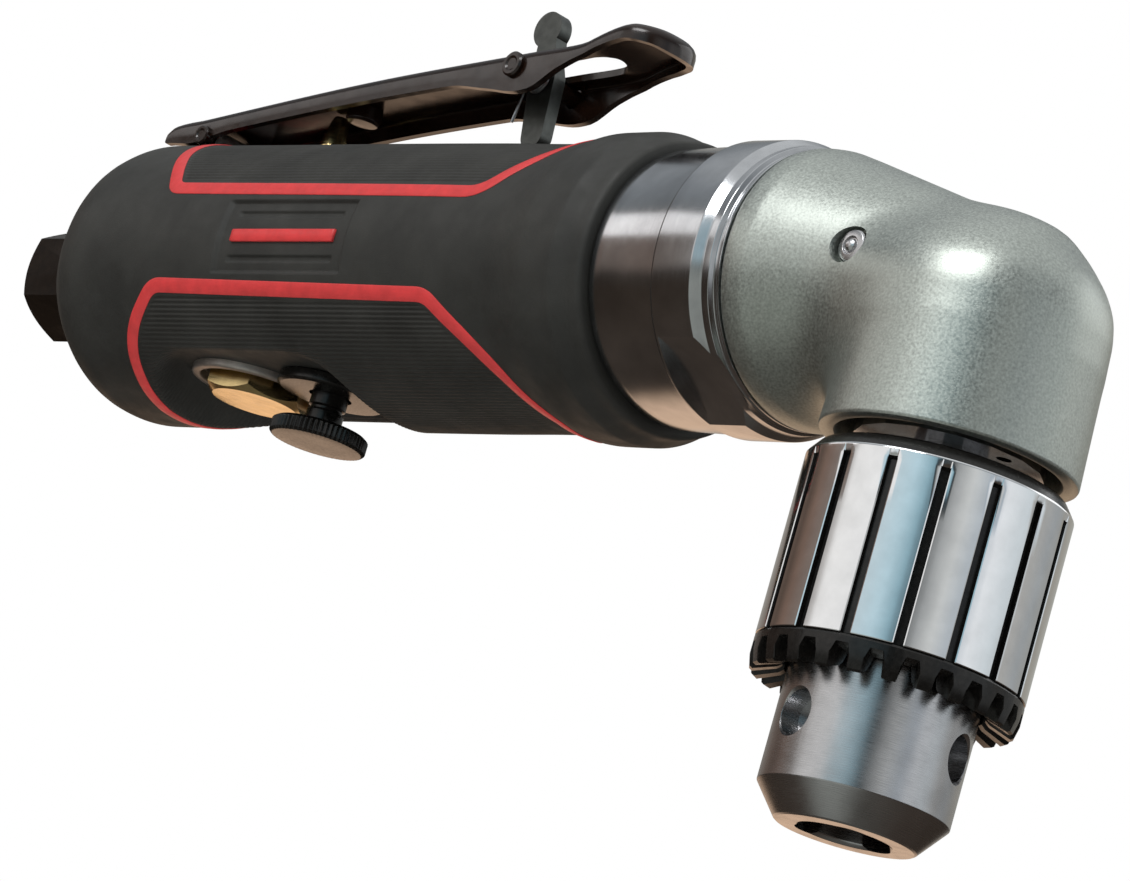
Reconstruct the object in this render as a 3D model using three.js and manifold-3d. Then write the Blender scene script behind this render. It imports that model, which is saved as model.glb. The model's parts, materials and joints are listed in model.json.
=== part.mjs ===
// Right-angle air drill with a keyed three-jaw chuck, as an assembly of separate solids.
// Units are millimetres, +Z is up. The motor axis runs along +X, the chuck axis points down (-Z).
// Everything is first placed about the motor axis, then the whole tool is lifted so that the
// middle of its base is the origin.

import * as THREE from 'three';
import { mergeVertices } from 'three/addons/utils/BufferGeometryUtils.js';
import Module from 'manifold-3d';

const wasm = await Module();
wasm.setup();

// ---------------------------------------------------------------- driving dimensions

const GAP = 0.3; // running and assembly gap between touching pieces
const FINE = 28; // sides of the large round parts
const MEDIUM = 16;
const SMALL = 12;

const CHUCK_X = 194.7; // chuck axis, ahead of the rear face of the inlet
const INLET_LENGTH = 10;
const INLET_FLATS = 16;
const INLET_BORE_R = 5.5;

const HOUSING_R = 18.5;
const HOUSING_REAR = 11.2;
const HOUSING_SHOULDER = 138.4;
const HOUSING_FRONT = 150;
const SPIGOT_R = 17;
const PAD_Z = -15; // flat under the valve plug and the regulator
const PAD_REAR = 38;
const PAD_FRONT = 86;

const GRIP_REAR = 10.8;
const GRIP_FRONT = 138.4;

const VALVE_X = 54;
const REGULATOR_X = 70.5;
const PORT_Z = 10.7; // air passage from the valve past the regulator to the motor
const PORT_R = 1.9;
const PLUG_FLATS = 13.8;
const KNOB_R = 7.2;

const LEVER_PIVOT = [31.6, 21.8];
const LEVER_HALF_WIDTH = 6.7;
const SHEET = 1; // sheet thickness of the lever
const LATCH_PIVOT = [97.1, 31.6];
const LATCH_HALF_THICKNESS = 1.1;

const MOTOR_BORE_R = 15;
const GEAR_BORE_R = 16.6;
const MOTOR_REAR = 80;
const GEAR_STAGE = 119.7;
const ROTOR_R = 9.5;
const VANES = 5;

const GEAR_MODULE = 0.6;
const SUN_TEETH = 12;
const PLANET_TEETH = 18;
const RING_TEETH = SUN_TEETH + 2 * PLANET_TEETH;
const PLANETS = 3;
const PLANET_ORBIT = GEAR_MODULE * (SUN_TEETH + PLANET_TEETH) / 2;

const PINION_TEETH = 12;
const BEVEL_TEETH = 18;
const BEVEL_MODULE = 1;
const PINION_PITCH_R = PINION_TEETH * BEVEL_MODULE / 2;
const BEVEL_PITCH_R = BEVEL_TEETH * BEVEL_MODULE / 2;

const SPANNER_FLAT = 18.7; // axis to each spanner flat on the collar
const SPANNER_ANGLE = 241; // degrees from +Y to the first of them

const HEAD_SEAM = 163.7;
const BARREL_BOTTOM = -23;
const GREASE = [181.6, 0.9]; // x and z of the grease fitting on the head's -Y side

const CHUCK_TOP = -25;
const SLEEVE_R = 17.7;
const SLEEVE_BOTTOM = -56;
const SLEEVE_GROOVES = 16;
const CHUCK_GEAR_TEETH = 24;
const NOSE_R = 12.6;
const NOSE_Z = -73.5;
const JAWS = 3;
const JAW_PHASE = -40; // degrees from +X to the first jaw
const JAW_TILT = 15; // degrees between a jaw and the chuck axis
const JAW_R = 2.9;
const JAW_AXIS_R = 5.5; // a jaw's own axis to the chuck axis at its tip, fully open
const JAW_BACK_R = 8.2; // the same to the flat on a jaw's back
const JAW_OPEN_R = 5; // gripping face to chuck axis, fully open
const JAW_TIP_Z = -66;
const JAW_TOP_Z = -31.5;

const colours = {
  rubber: [0x2b2b2c, 0.85, 0],
  blackSteel: [0x16120f, 0.3, 0.6],
  darkSteel: [0x3a3d42, 0.35, 0.9],
  steel: [0x9a9da0, 0.35, 1],
  chrome: [0xd5d8dc, 0.12, 1],
  castMetal: [0x8f9488, 0.45, 0.8],
  aluminium: [0xb9bab6, 0.45, 0.9],
  brass: [0xc79a4e, 0.3, 1],
  bronze: [0x5a4a3a, 0.4, 0.9],
  seal: [0x141414, 0.7, 0],
  phenolic: [0x6b4a2c, 0.6, 0],
};

// ---------------------------------------------------------------- helpers

const radians = THREE.MathUtils.degToRad;

function signedVolume(position, index) {
  let sum = 0;
  const [a, b, c] = [new THREE.Vector3(), new THREE.Vector3(), new THREE.Vector3()];
  for (let i = 0; i < index.length; i += 3) {
    a.fromArray(position, 3 * index[i]);
    b.fromArray(position, 3 * index[i + 1]);
    c.fromArray(position, 3 * index[i + 2]);
    sum += a.dot(b.cross(c));
  }
  return sum;
}

// A closed geometry as a solid for joining and cutting, with its faces pointing out.
function solid(geometry) {
  geometry.deleteAttribute('normal');
  geometry.deleteAttribute('uv');
  const merged = mergeVertices(geometry, 1e-4);
  const all = merged.index.array;
  const kept = [];
  for (let i = 0; i < all.length; i += 3) {
    const [a, b, c] = [all[i], all[i + 1], all[i + 2]];
    if (a !== b && b !== c && c !== a) kept.push(a, b, c);
  }
  const position = new Float32Array(merged.attributes.position.array);
  if (signedVolume(position, kept) < 0) kept.reverse();
  const mesh = new wasm.Mesh({ numProp: 3, vertProperties: position, triVerts: new Uint32Array(kept) });
  return new wasm.Manifold(mesh);
}

function joined(...solids) {
  return solids.reduce((sum, next) => sum.add(next));
}

const TO_AXIS = {
  x: new THREE.Matrix4().makeRotationY(Math.PI / 2),
  y: new THREE.Matrix4().makeRotationX(-Math.PI / 2),
  z: new THREE.Matrix4(),
};

// A body of revolution about the named axis; the profile is [radius, distance along the axis].
function spun(axis, profile, sides = MEDIUM, centre = [0, 0, 0]) {
  const points = profile.map(([r, h]) => new THREE.Vector2(r, h));
  if (profile[0][0] > 0) points.push(points[0].clone());
  const geometry = new THREE.LatheGeometry(points, sides).rotateX(Math.PI / 2);
  return solid(geometry.applyMatrix4(TO_AXIS[axis]).translate(...centre));
}

function rod(axis, r, low, high, sides = SMALL, centre = [0, 0, 0]) {
  return spun(axis, [[0, low], [r, low], [r, high], [0, high]], sides, centre);
}

function ring(axis, inner, outer, low, high, sides = MEDIUM, centre = [0, 0, 0]) {
  return spun(axis, [[inner, low], [outer, low], [outer, high], [inner, high]], sides, centre);
}

// A ball bearing drawn as one ring, with its four edges broken.
function bearing(axis, inner, outer, low, high, centre = [0, 0, 0]) {
  const edge = 0.5;
  const profile = [
    [inner, low], [outer - edge, low], [outer, low + edge],
    [outer, high - edge], [outer - edge, high], [inner, high],
  ];
  return spun(axis, profile, MEDIUM, centre);
}

const PLANE_BASIS = {
  xy: [new THREE.Vector3(1, 0, 0), new THREE.Vector3(0, 1, 0), new THREE.Vector3(0, 0, 1)],
  xz: [new THREE.Vector3(1, 0, 0), new THREE.Vector3(0, 0, 1), new THREE.Vector3(0, 1, 0)],
  yz: [new THREE.Vector3(0, 1, 0), new THREE.Vector3(0, 0, 1), new THREE.Vector3(1, 0, 0)],
};

// An outline in the named plane, drawn out between two heights across that plane.
function plate(plane, outline, low, high) {
  const shape = new THREE.Shape(outline.map(([u, v]) => new THREE.Vector2(u, v)));
  const geometry = new THREE.ExtrudeGeometry(shape, { depth: high - low, bevelEnabled: false });
  geometry.translate(0, 0, low);
  return solid(geometry.applyMatrix4(new THREE.Matrix4().makeBasis(...PLANE_BASIS[plane])));
}

function box(x0, x1, y0, y1, z0, z1) {
  const geometry = new THREE.BoxGeometry(x1 - x0, y1 - y0, z1 - z0);
  return solid(geometry.translate((x0 + x1) / 2, (y0 + y1) / 2, (z0 + z1) / 2));
}

function polygon(corners, radius, centre, startDegrees = 0) {
  return Array.from({ length: corners }, (_, i) => {
    const angle = radians(startDegrees + 360 * i / corners);
    return [centre[0] + radius * Math.cos(angle), centre[1] + radius * Math.sin(angle)];
  });
}

// The outline around two circles joined by their common tangents.
function linkOutline(a, radiusA, b, radiusB, steps = 8) {
  const direction = Math.atan2(b[1] - a[1], b[0] - a[0]);
  const distance = Math.hypot(b[0] - a[0], b[1] - a[1]);
  const side = Math.acos((radiusA - radiusB) / distance);
  const arc = (centre, radius, from, to) => Array.from({ length: steps + 1 }, (_, i) => {
    const angle = from + (to - from) * i / steps;
    return [centre[0] + radius * Math.cos(angle), centre[1] + radius * Math.sin(angle)];
  });
  return [
    ...arc(b, radiusB, direction - side, direction + side),
    ...arc(a, radiusA, direction + side, direction + 2 * Math.PI - side),
  ];
}

function tube(points, radius, sides, steps) {
  const curve = new THREE.CatmullRomCurve3(points);
  const section = new THREE.Shape(polygon(sides, radius, [0, 0]).map(([u, v]) => new THREE.Vector2(u, v)));
  return solid(new THREE.ExtrudeGeometry(section, { steps, bevelEnabled: false, extrudePath: curve }));
}

// Points of a helix about an axis through the given centre, along 'y' or 'z'.
function helix(axis, centre, radius, low, high, turns, perTurn) {
  const count = Math.round(turns * perTurn);
  return Array.from({ length: count + 1 }, (_, i) => {
    const angle = 2 * Math.PI * turns * i / count;
    const along = low + (high - low) * i / count;
    const [u, v] = [radius * Math.cos(angle), radius * Math.sin(angle)];
    if (axis === 'y') return new THREE.Vector3(centre[0] + u, along, centre[1] + v);
    return new THREE.Vector3(centre[0] + u, centre[1] + v, along);
  });
}

// One outline for every spur and bevel gear: four points to a tooth, thinned for backlash.
function gearOutline(teeth, rootR, tipR, phaseDegrees, rootShare = 0.66, tipShare = 0.26) {
  const pitch = 2 * Math.PI / teeth;
  const outline = [];
  for (let i = 0; i < teeth; i += 1) {
    const middle = radians(phaseDegrees) + i * pitch;
    const corners = [[rootR, -rootShare], [tipR, -tipShare], [tipR, tipShare], [rootR, rootShare]];
    for (const [r, share] of corners) {
      const angle = middle + share * pitch / 2;
      outline.push([r * Math.cos(angle), r * Math.sin(angle)]);
    }
  }
  return outline;
}

// A toothed frustum that shrinks towards the apex, at z = 0, from one depth to another.
function bevelFrustum(outlineAtOne, fromDepth, toDepth) {
  const shape = new THREE.Shape(outlineAtOne.map(([u, v]) => new THREE.Vector2(u, v)));
  const geometry = new THREE.ExtrudeGeometry(shape, { depth: 1, bevelEnabled: false });
  const position = geometry.attributes.position;
  for (let i = 0; i < position.count; i += 1) {
    const depth = position.getZ(i) < 0.5 ? fromDepth : toDepth;
    position.setXYZ(i, position.getX(i) * depth, position.getY(i) * depth, -depth);
  }
  return geometry;
}

function turnedCopies(count, startDegrees, make) {
  return Array.from({ length: count }, (_, i) => make(startDegrees + 360 * i / count, i));
}

function cutAll(body, tools) {
  return tools.reduce((rest, tool) => rest.subtract(tool), body);
}

const assembly = new THREE.Group();

function add(name, colour, body) {
  const mesh = body.getMesh();
  const geometry = new THREE.BufferGeometry();
  geometry.setAttribute('position', new THREE.BufferAttribute(mesh.vertProperties, 3));
  geometry.setIndex(new THREE.BufferAttribute(mesh.triVerts, 1));
  geometry.computeVertexNormals();
  const [color, roughness, metalness] = colours[colour];
  const part = new THREE.Mesh(geometry, new THREE.MeshStandardMaterial({ color, roughness, metalness }));
  part.name = name;
  assembly.add(part);
}

// ---------------------------------------------------------------- rear end and housing

function inletBushing() {
  const flatToCorner = INLET_FLATS / 2 / Math.cos(Math.PI / 6);
  const hex = plate('yz', polygon(6, flatToCorner, [0, 0], 90), 0, INLET_LENGTH);
  const rearChamfer = spun('x', [
    [0, 0], [7.7, 0], [flatToCorner + 0.2, 1.3], [flatToCorner + 0.2, 11], [0, 11],
  ]);
  const shank = rod('x', 6.5, INLET_LENGTH - 0.5, 19.7, MEDIUM);
  const bore = rod('x', INLET_BORE_R, -1, 14, MEDIUM);
  const throat = rod('x', 4, 13, 21);
  return joined(hex.intersect(rearChamfer), shank).subtract(bore).subtract(throat);
}

function inletScreen() {
  const disc = rod('x', INLET_BORE_R - GAP, 12.7, 13.7, SMALL);
  const holes = turnedCopies(6, 0, (angle) => {
    const [y, z] = polygon(1, 3, [0, 0], angle)[0];
    return rod('x', 0.8, 12, 15, 6, [0, y, z]);
  });
  return cutAll(disc, holes);
}

function motorHousing() {
  const outer = spun('x', [
    [0, HOUSING_REAR], [7.8, HOUSING_REAR], [HOUSING_R, 25.4], [HOUSING_R, HOUSING_SHOULDER],
    [SPIGOT_R, HOUSING_SHOULDER], [SPIGOT_R, HOUSING_FRONT], [0, HOUSING_FRONT],
  ], FINE);
  const pad = box(PAD_REAR, PAD_FRONT, -20, 20, -20, PAD_Z);
  const latchRest = box(82, 106, -8, 8, 17.6, 20);
  const lug = plate('xz', linkOutline(LEVER_PIVOT, 1.75, [LEVER_PIVOT[0], 15], 3.4), -5.2, 5.2);
  const lugHole = rod('y', 1.3, -9, 9, SMALL, [LEVER_PIVOT[0], 0, LEVER_PIVOT[1]]);
  const cuts = [
    pad, latchRest, lugHole,
    rod('x', 6.8, 0, 20, MEDIUM),
    rod('x', 4.5, 19, 51),
    rod('x', MOTOR_BORE_R, MOTOR_REAR, 140, FINE),
    rod('x', GEAR_BORE_R, GEAR_STAGE, 160, FINE),
    rod('x', PORT_R, VALVE_X, MOTOR_REAR + 1, 8, [0, 0, PORT_Z]),
    rod('z', 8.9, -20, -11, MEDIUM, [VALVE_X, 0, 0]),
    rod('z', 5.3, -12, 8.8, SMALL, [VALVE_X, 0, 0]),
    rod('z', 3.6, 8, 13.5, SMALL, [VALVE_X, 0, 0]),
    rod('z', 4.5, 13, 20, SMALL, [VALVE_X, 0, 0]),
    rod('z', 3.2, -20, 14, SMALL, [REGULATOR_X, 0, 0]),
  ];
  return cutAll(joined(outer, lug), cuts);
}

function gripSleeve() {
  const outside = spun('x', [
    [0, GRIP_REAR], [9.5, GRIP_REAR], [11.9, 12.9], [14.7, 17], [18.6, 22], [20.3, 24.6], [21.2, 29],
    [21, 58], [20.6, 102], [20.3, 118], [20.9, 123], [21.7, 128], [21.7, 134], [21.2, GRIP_FRONT],
    [0, GRIP_FRONT],
  ], FINE);
  const inside = spun('x', [
    [0, GRIP_REAR - 1], [8.2, GRIP_REAR - 1], [8.2, GRIP_REAR], [HOUSING_R + GAP, 24.9],
    [HOUSING_R + GAP, GRIP_FRONT + 1], [0, GRIP_FRONT + 1],
  ], FINE);
  const pocketR = 13.7;
  const pocket = plate('xy', linkOutline([VALVE_X, 0], pocketR, [REGULATOR_X, 0], pocketR), -30, -5);
  const lugWindow = box(LEVER_PIVOT[0] - 4, LEVER_PIVOT[0] + 4, -5.5, 5.5, 10, 30);
  const stemHole = rod('z', 5, 10, 30, SMALL, [VALVE_X, 0, 0]);
  const latchWindow = plate('xy', linkOutline([84, 0], 3, [101.5, 0], 3), 10, 30);
  return cutAll(outside, [inside, pocket, lugWindow, stemHole, latchWindow]);
}

// ---------------------------------------------------------------- lever and lock-off latch

const LEVER_REAR = [22.9, 23.8];
const LEVER_FRONT = [109.9, 35];
const LEVER_TIP_X = 123.2;
const LEVER_TIP_Z = 37.4;

function sheetOutline(top) {
  const under = top.map(([x, z]) => [x, z - SHEET]).reverse();
  return [...top, ...under];
}

function throttleLever() {
  const half = LEVER_HALF_WIDTH;
  const top = sheetOutline([
    LEVER_REAR, [68.7, 30.6], LEVER_FRONT, [113, 36.4], [117, LEVER_TIP_Z], [121, LEVER_TIP_Z],
    [LEVER_TIP_X, LEVER_TIP_Z - 0.6],
  ]);
  const tipCentre = LEVER_TIP_X - half;
  const plan = plate('xy', [
    [LEVER_REAR[0], -half], [tipCentre, -half], ...polygon(12, half, [tipCentre, 0], -75).slice(0, 6),
    [tipCentre, half], [LEVER_REAR[0], half],
  ], 0, 60);
  const strip = plate('xz', top, -half, half).intersect(plan);
  const side = [
    [22.5, 23.4], [23, 20.9], [29.8, 20.75], [37, 21.9], [55.7, 25.2], [78.3, 28.2], [84, 28.6],
    [99.6, 27.9], [102.4, 28.6], [109.6, 34.4], [68.7, 30.2],
  ];
  const sides = [
    plate('xz', side, -half, -half + SHEET),
    plate('xz', side, half - SHEET, half),
  ];
  const slot = plate('xy', linkOutline([93.2, 0], 3, [108.6, 0], 3), 10, 60);
  const boss = rod('z', 2.2, 26.2, 28, SMALL, [VALVE_X + 5, 0, 0]);
  const pinHole = rod('y', 1.3, -9, 9, SMALL, [LEVER_PIVOT[0], 0, LEVER_PIVOT[1]]);
  const latchHole = rod('y', 1.6, -9, 9, SMALL, [LATCH_PIVOT[0], 0, LATCH_PIVOT[1]]);
  return cutAll(joined(strip, ...sides, boss), [slot, pinHole, latchHole]);
}

// A pin across the lever with a low head outside each side.
function crossPin(pivot, shankR, headR) {
  const inner = LEVER_HALF_WIDTH + GAP;
  const outer = inner + 0.5;
  return spun('y', [
    [0, -outer], [headR, -outer], [headR, -inner], [shankR, -inner], [shankR, inner], [headR, inner],
    [headR, outer], [0, outer],
  ], SMALL, [pivot[0], 0, pivot[1]]);
}

function lockoffLatch() {
  const at = (x, z) => [LATCH_PIVOT[0] + x, LATCH_PIVOT[1] + z];
  const t = LATCH_HALF_THICKNESS;
  const head = plate('xz', linkOutline(at(-2, 8.1), 2.75, at(-1.4, 5), 1.9), -t, t);
  const neck = plate('xz', linkOutline(at(-1.4, 5), 1.9, at(0, 0), 2.6), -t, t);
  const leg = plate('xz', linkOutline(at(0, 0), 2.6, at(1.2, -8.4), 2.1), -t, t);
  const hole = rod('y', 1.6, -3, 3, SMALL, [LATCH_PIVOT[0], 0, LATCH_PIVOT[1]]);
  return joined(head, neck, leg).subtract(hole);
}

function latchSpring() {
  const coil = helix('y', LATCH_PIVOT, 2, 1.5, 2.6, 2, 10);
  return tube(coil, 0.22, 4, 20);
}

// ---------------------------------------------------------------- throttle valve and regulator

function valveStem() {
  const profile = [[0, 5.9], [1.9, 5.9], [1.9, 21], [2.05, 22], [1.3, 26.3], [0.9, 27], [0, 27]];
  return spun('z', profile, SMALL, [VALVE_X, 0, 0]);
}

function valvePoppet() {
  return spun('z', [[0, 2.6], [2, 2.6], [2, 3.6], [4.2, 3.6], [3, 5.6], [0, 5.6]], SMALL, [VALVE_X, 0, 0]);
}

function valveSeat() {
  return ring('z', 2.6, 5, 6.1, 8.5, SMALL, [VALVE_X, 0, 0]);
}

function stemSeal() {
  return ring('z', 2.2, 4.2, 13.8, 15.2, SMALL, [VALVE_X, 0, 0]);
}

function stemBushing() {
  const profile = [[2.35, 15.5], [4.2, 15.5], [4.2, 19.6], [3.4, 20.4], [2.35, 20.4]];
  return spun('z', profile, SMALL, [VALVE_X, 0, 0]);
}

function valveSpring() {
  return tube(helix('z', [VALVE_X, 0], 3, -7.6, 2.1, 4, 10), 0.35, 4, 40);
}

function valvePlug() {
  const corner = PLUG_FLATS / 2 / Math.cos(Math.PI / 6);
  const hex = plate('xy', polygon(6, corner, [VALVE_X, 0], 0), -18.4, -12.6);
  const shank = rod('z', 5, -13, -8.2, SMALL, [VALVE_X, 0, 0]);
  const chamfer = spun('z', [[0, -18.4], [6.9, -18.4], [corner + 0.1, -17.6], [corner + 0.1, -8], [0, -8]],
    MEDIUM, [VALVE_X, 0, 0]);
  return joined(hex, shank).intersect(chamfer);
}

function plugSeal() {
  return ring('z', 5.6, 7.6, -12.3, -11.3, MEDIUM, [VALVE_X, 0, 0]);
}

function regulatorFlange() {
  return ring('z', 3.2, 8.1, -17, -15.3, MEDIUM, [REGULATOR_X, 0, 0]);
}

function regulatorSpindle() {
  const body = spun('z', [
    [0, -23.2], [1.7, -23.2], [1.7, -21.5], [2.75, -21.5], [2.75, -19.6], [2.3, -19.4], [2.3, -19.1],
    [2.75, -18.9], [2.75, 13.2], [0, 13.2],
  ], SMALL, [REGULATOR_X, 0, 0]);
  return body.subtract(rod('x', PORT_R - 0.2, REGULATOR_X - 5, REGULATOR_X + 5, 8, [0, 0, PORT_Z]));
}

function regulatorKnob() {
  const knurl = gearOutline(24, KNOB_R - 0.4, KNOB_R, 0).map(([x, y]) => [x + REGULATOR_X, y]);
  const hole = rod('z', 2, -23.5, -21, SMALL, [REGULATOR_X, 0, 0]);
  return plate('xy', knurl, -24.3, -21.8).subtract(hole);
}

// ---------------------------------------------------------------- vane motor

function rearEndPlate() {
  const disc = ring('x', 3.6, MOTOR_BORE_R - GAP, 80.4, 86, FINE);
  const pocket = rod('x', 7.5, 79, 85.4, MEDIUM);
  const port = rod('x', PORT_R, 79, 88, 8, [0, 0, PORT_Z]);
  return disc.subtract(pocket).subtract(port);
}

function frontEndPlate() {
  const disc = ring('x', 3.6, MOTOR_BORE_R - GAP, 114, 119.4, FINE);
  return disc.subtract(rod('x', 7.5, 114.7, 121, MEDIUM));
}

function cylinderLiner() {
  const outer = rod('x', MOTOR_BORE_R - GAP, 86.3, 113.7, FINE);
  const bore = rod('x', 11, 80, 120, FINE, [0, 0, 1]);
  const exhaust = [92, 100, 108].map((x) => box(x - 1.5, x + 1.5, -16, -8, -4, 4));
  return cutAll(outer, [bore, ...exhaust]);
}

function rotor() {
  const body = spun('x', [
    [0, 80.8], [3, 80.8], [3, 86.8], [ROTOR_R, 86.8], [ROTOR_R, 113.2], [3, 113.2], [3, 121.4], [0, 121.4],
  ], MEDIUM);
  const sun = plate('yz', gearOutline(SUN_TEETH, 2.9, 4.05, 90), 121.2, 130.2);
  const slots = turnedCopies(VANES, 90, (angle) => vaneBlock(angle, 5, ROTOR_R + 1, 1, 86, 114));
  return cutAll(joined(body, sun), slots);
}

function vaneBlock(angle, innerR, outerR, halfThickness, rear, front) {
  const along = [Math.cos(radians(angle)), Math.sin(radians(angle))];
  const corner = (r, side) => [r * along[0] - side * along[1], r * along[1] + side * along[0]];
  return plate('yz', [
    corner(innerR, -halfThickness), corner(outerR, -halfThickness),
    corner(outerR, halfThickness), corner(innerR, halfThickness),
  ], rear, front);
}

// ---------------------------------------------------------------- planetary stage

function ringGear() {
  const pitchR = GEAR_MODULE * RING_TEETH / 2;
  const phase = 90 + 180 / RING_TEETH;
  const space = plate('yz', gearOutline(RING_TEETH, pitchR - 0.4, pitchR + 0.75, phase, 0.8, 0.5), 119, 132);
  return rod('x', GEAR_BORE_R - GAP, 120, 131, FINE).subtract(space);
}

function planetGear(angle) {
  const [y, z] = polygon(1, PLANET_ORBIT, [0, 0], angle)[0];
  const pitchR = GEAR_MODULE * PLANET_TEETH / 2;
  const spaceTowardsSun = angle + 180 + 180 / PLANET_TEETH;
  const outline = gearOutline(PLANET_TEETH, pitchR - 0.75, pitchR + 0.42, spaceTowardsSun);
  const body = plate('yz', outline.map(([u, v]) => [u + y, v + z]), 121.9, 130.2);
  return body.subtract(rod('x', 2.3, 120, 132, SMALL, [0, y, z]));
}

function planetPin(angle) {
  const [y, z] = polygon(1, PLANET_ORBIT, [0, 0], angle)[0];
  return rod('x', 1.9, 121.4, 134.6, 12, [0, y, z]);
}

function planetCarrier() {
  const body = spun('x', [
    [0, 131.3], [13.4, 131.3], [13.4, 135], [7.2, 135], [7.2, 145.4], [5, 146], [5, 171.1], [4, 171.1],
    [4, 180.4], [2.2, 180.4], [2.2, 189], [0, 189],
  ], MEDIUM);
  const holes = turnedCopies(PLANETS, 90, (angle) => {
    const [y, z] = polygon(1, PLANET_ORBIT, [0, 0], angle)[0];
    return rod('x', 2.2, 130, 136, 12, [0, y, z]);
  });
  return cutAll(body, holes);
}

// ---------------------------------------------------------------- collar, angle head and spindle

function clampCollar() {
  const profile = [
    [17.35, 138.7], [19.1, 138.7], [19.4, 139.4], [19.6, 151.6], [20.2, 152.6], [20.2, 159.4], [19.3, 160.6],
    [19.3, 162], [18.7, 162.3], [18.7, 163.4], [17.35, 163.4],
  ];
  const flats = turnedCopies(2, SPANNER_ANGLE, (angle) => {
    const slab = box(152.5, 166, -12, 12, SPANNER_FLAT, 24);
    return slab.rotate([angle - 90, 0, 0]);
  });
  return cutAll(spun('x', profile, FINE), flats);
}

function headHousing() {
  const cone = spun('x', [
    [0, 150.3], [SPIGOT_R, 150.3], [SPIGOT_R, HEAD_SEAM], [18.8, HEAD_SEAM], [19, 164.6], [18.7, 167],
    [17.6, 170.6], [10.3, CHUCK_X], [7.8, 203], [0, 204],
  ], FINE);
  const barrel = spun('z', [
    [0, BARREL_BOTTOM], [16.6, BARREL_BOTTOM], [17.2, -22.2], [16.7, -8], [16.2, -1], [15.4, 2.8],
    [13.3, 5.8], [9.5, 8.3], [0, 9.6],
  ], FINE, [CHUCK_X, 0, 0]);
  const cuts = [
    rod('x', 13, 149, 171, MEDIUM),
    rod('x', 10.8, 170, 180, MEDIUM),
    rod('x', 8.2, 179, 190.2, MEDIUM),
    rod('z', 11.3, -12, 1, MEDIUM, [CHUCK_X, 0, 0]),
    rod('z', 12.9, -30, -10.8, MEDIUM, [CHUCK_X, 0, 0]),
    rod('z', 4.8, 0, 5.3, SMALL, [CHUCK_X, 0, 0]),
    rod('y', 2.7, -20, -13, SMALL, [GREASE[0], 0, GREASE[1]]),
    rod('y', 1.7, -14, -7, SMALL, [GREASE[0], 0, GREASE[1]]),
  ];
  return cutAll(joined(cone, barrel), cuts);
}

function greaseFitting() {
  return spun('y', [[0, -9], [1.4, -9], [1.4, -13.3], [2.2, -13.3], [2, -14.1], [1.2, -14.4], [0, -14.4]],
    SMALL, [GREASE[0], 0, GREASE[1]]);
}

// Tooth radii one unit from the apex, from the pitch cone angle and the tooth height angles.
function bevelRadii(pitchR, apexDistance) {
  const cone = Math.atan2(pitchR, apexDistance);
  const [rise, fall] = [radians(4.5), radians(6.3)];
  return { tip: Math.tan(cone + rise), root: Math.tan(cone - fall) };
}

function bevelPinion() {
  const { tip, root } = bevelRadii(PINION_PITCH_R, BEVEL_PITCH_R);
  const teeth = bevelFrustum(gearOutline(PINION_TEETH, root, tip, 0), 11.2, 5.5);
  teeth.applyMatrix4(TO_AXIS.x).translate(CHUCK_X, 0, 0);
  const limit = rod('x', 7.4, 180, 195, MEDIUM);
  const hub = rod('x', 5, 180.9, 184, MEDIUM);
  return joined(solid(teeth).intersect(limit), hub).subtract(rod('x', 2.5, 178, 195));
}

function bevelGear() {
  const { tip, root } = bevelRadii(BEVEL_PITCH_R, PINION_PITCH_R);
  const outline = gearOutline(BEVEL_TEETH, root, tip, 180 + 180 / BEVEL_TEETH);
  const teeth = solid(bevelFrustum(outline, 8.4, 3.7).translate(CHUCK_X, 0, 0));
  const limit = rod('z', 10.7, -20, 5, FINE, [CHUCK_X, 0, 0]);
  const back = rod('z', 9.6, -10.2, -8.3, MEDIUM, [CHUCK_X, 0, 0]);
  return joined(teeth.intersect(limit), back).subtract(rod('z', 3.8, -20, 5, SMALL, [CHUCK_X, 0, 0]));
}

function spindle() {
  return spun('z', [
    [0, -38], [4.7, -38], [4.7, -25], [5, -24.6], [5, -10.5], [3.5, -10.5], [3.5, -3.2], [2.5, -3.2],
    [2.5, 4.6], [0, 4.6],
  ], SMALL, [CHUCK_X, 0, 0]);
}

function spindleBush() {
  return ring('z', 2.85, 4.5, 1.4, 5, SMALL, [CHUCK_X, 0, 0]);
}

function bearingCap() {
  const cap = ring('z', 6, 12.6, -22.6, -18.4, MEDIUM, [CHUCK_X, 0, 0]);
  const keyHoles = turnedCopies(2, 0, (angle) => {
    const [x, y] = polygon(1, 9.6, [CHUCK_X, 0], angle)[0];
    return rod('z', 1.1, -24, -20.5, 8, [x, y, 0]);
  });
  return cutAll(cap, keyHoles);
}

// ---------------------------------------------------------------- chuck

// Turns a geometry about the chuck axis and puts it in place.
function aroundChuck(geometry, angle) {
  return solid(geometry.rotateZ(radians(angle)).translate(CHUCK_X, 0, 0));
}

// A rod along a jaw's path, at the first jaw's place before it is turned about the axis.
function jawPath(radius, sides, low, high) {
  const geometry = new THREE.CylinderGeometry(radius, radius, high - low, sides);
  geometry.rotateX(Math.PI / 2).translate(0, 0, (low + high) / 2 - JAW_TIP_Z);
  return geometry.rotateY(radians(JAW_TILT)).translate(JAW_AXIS_R, 0, JAW_TIP_Z);
}

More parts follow.
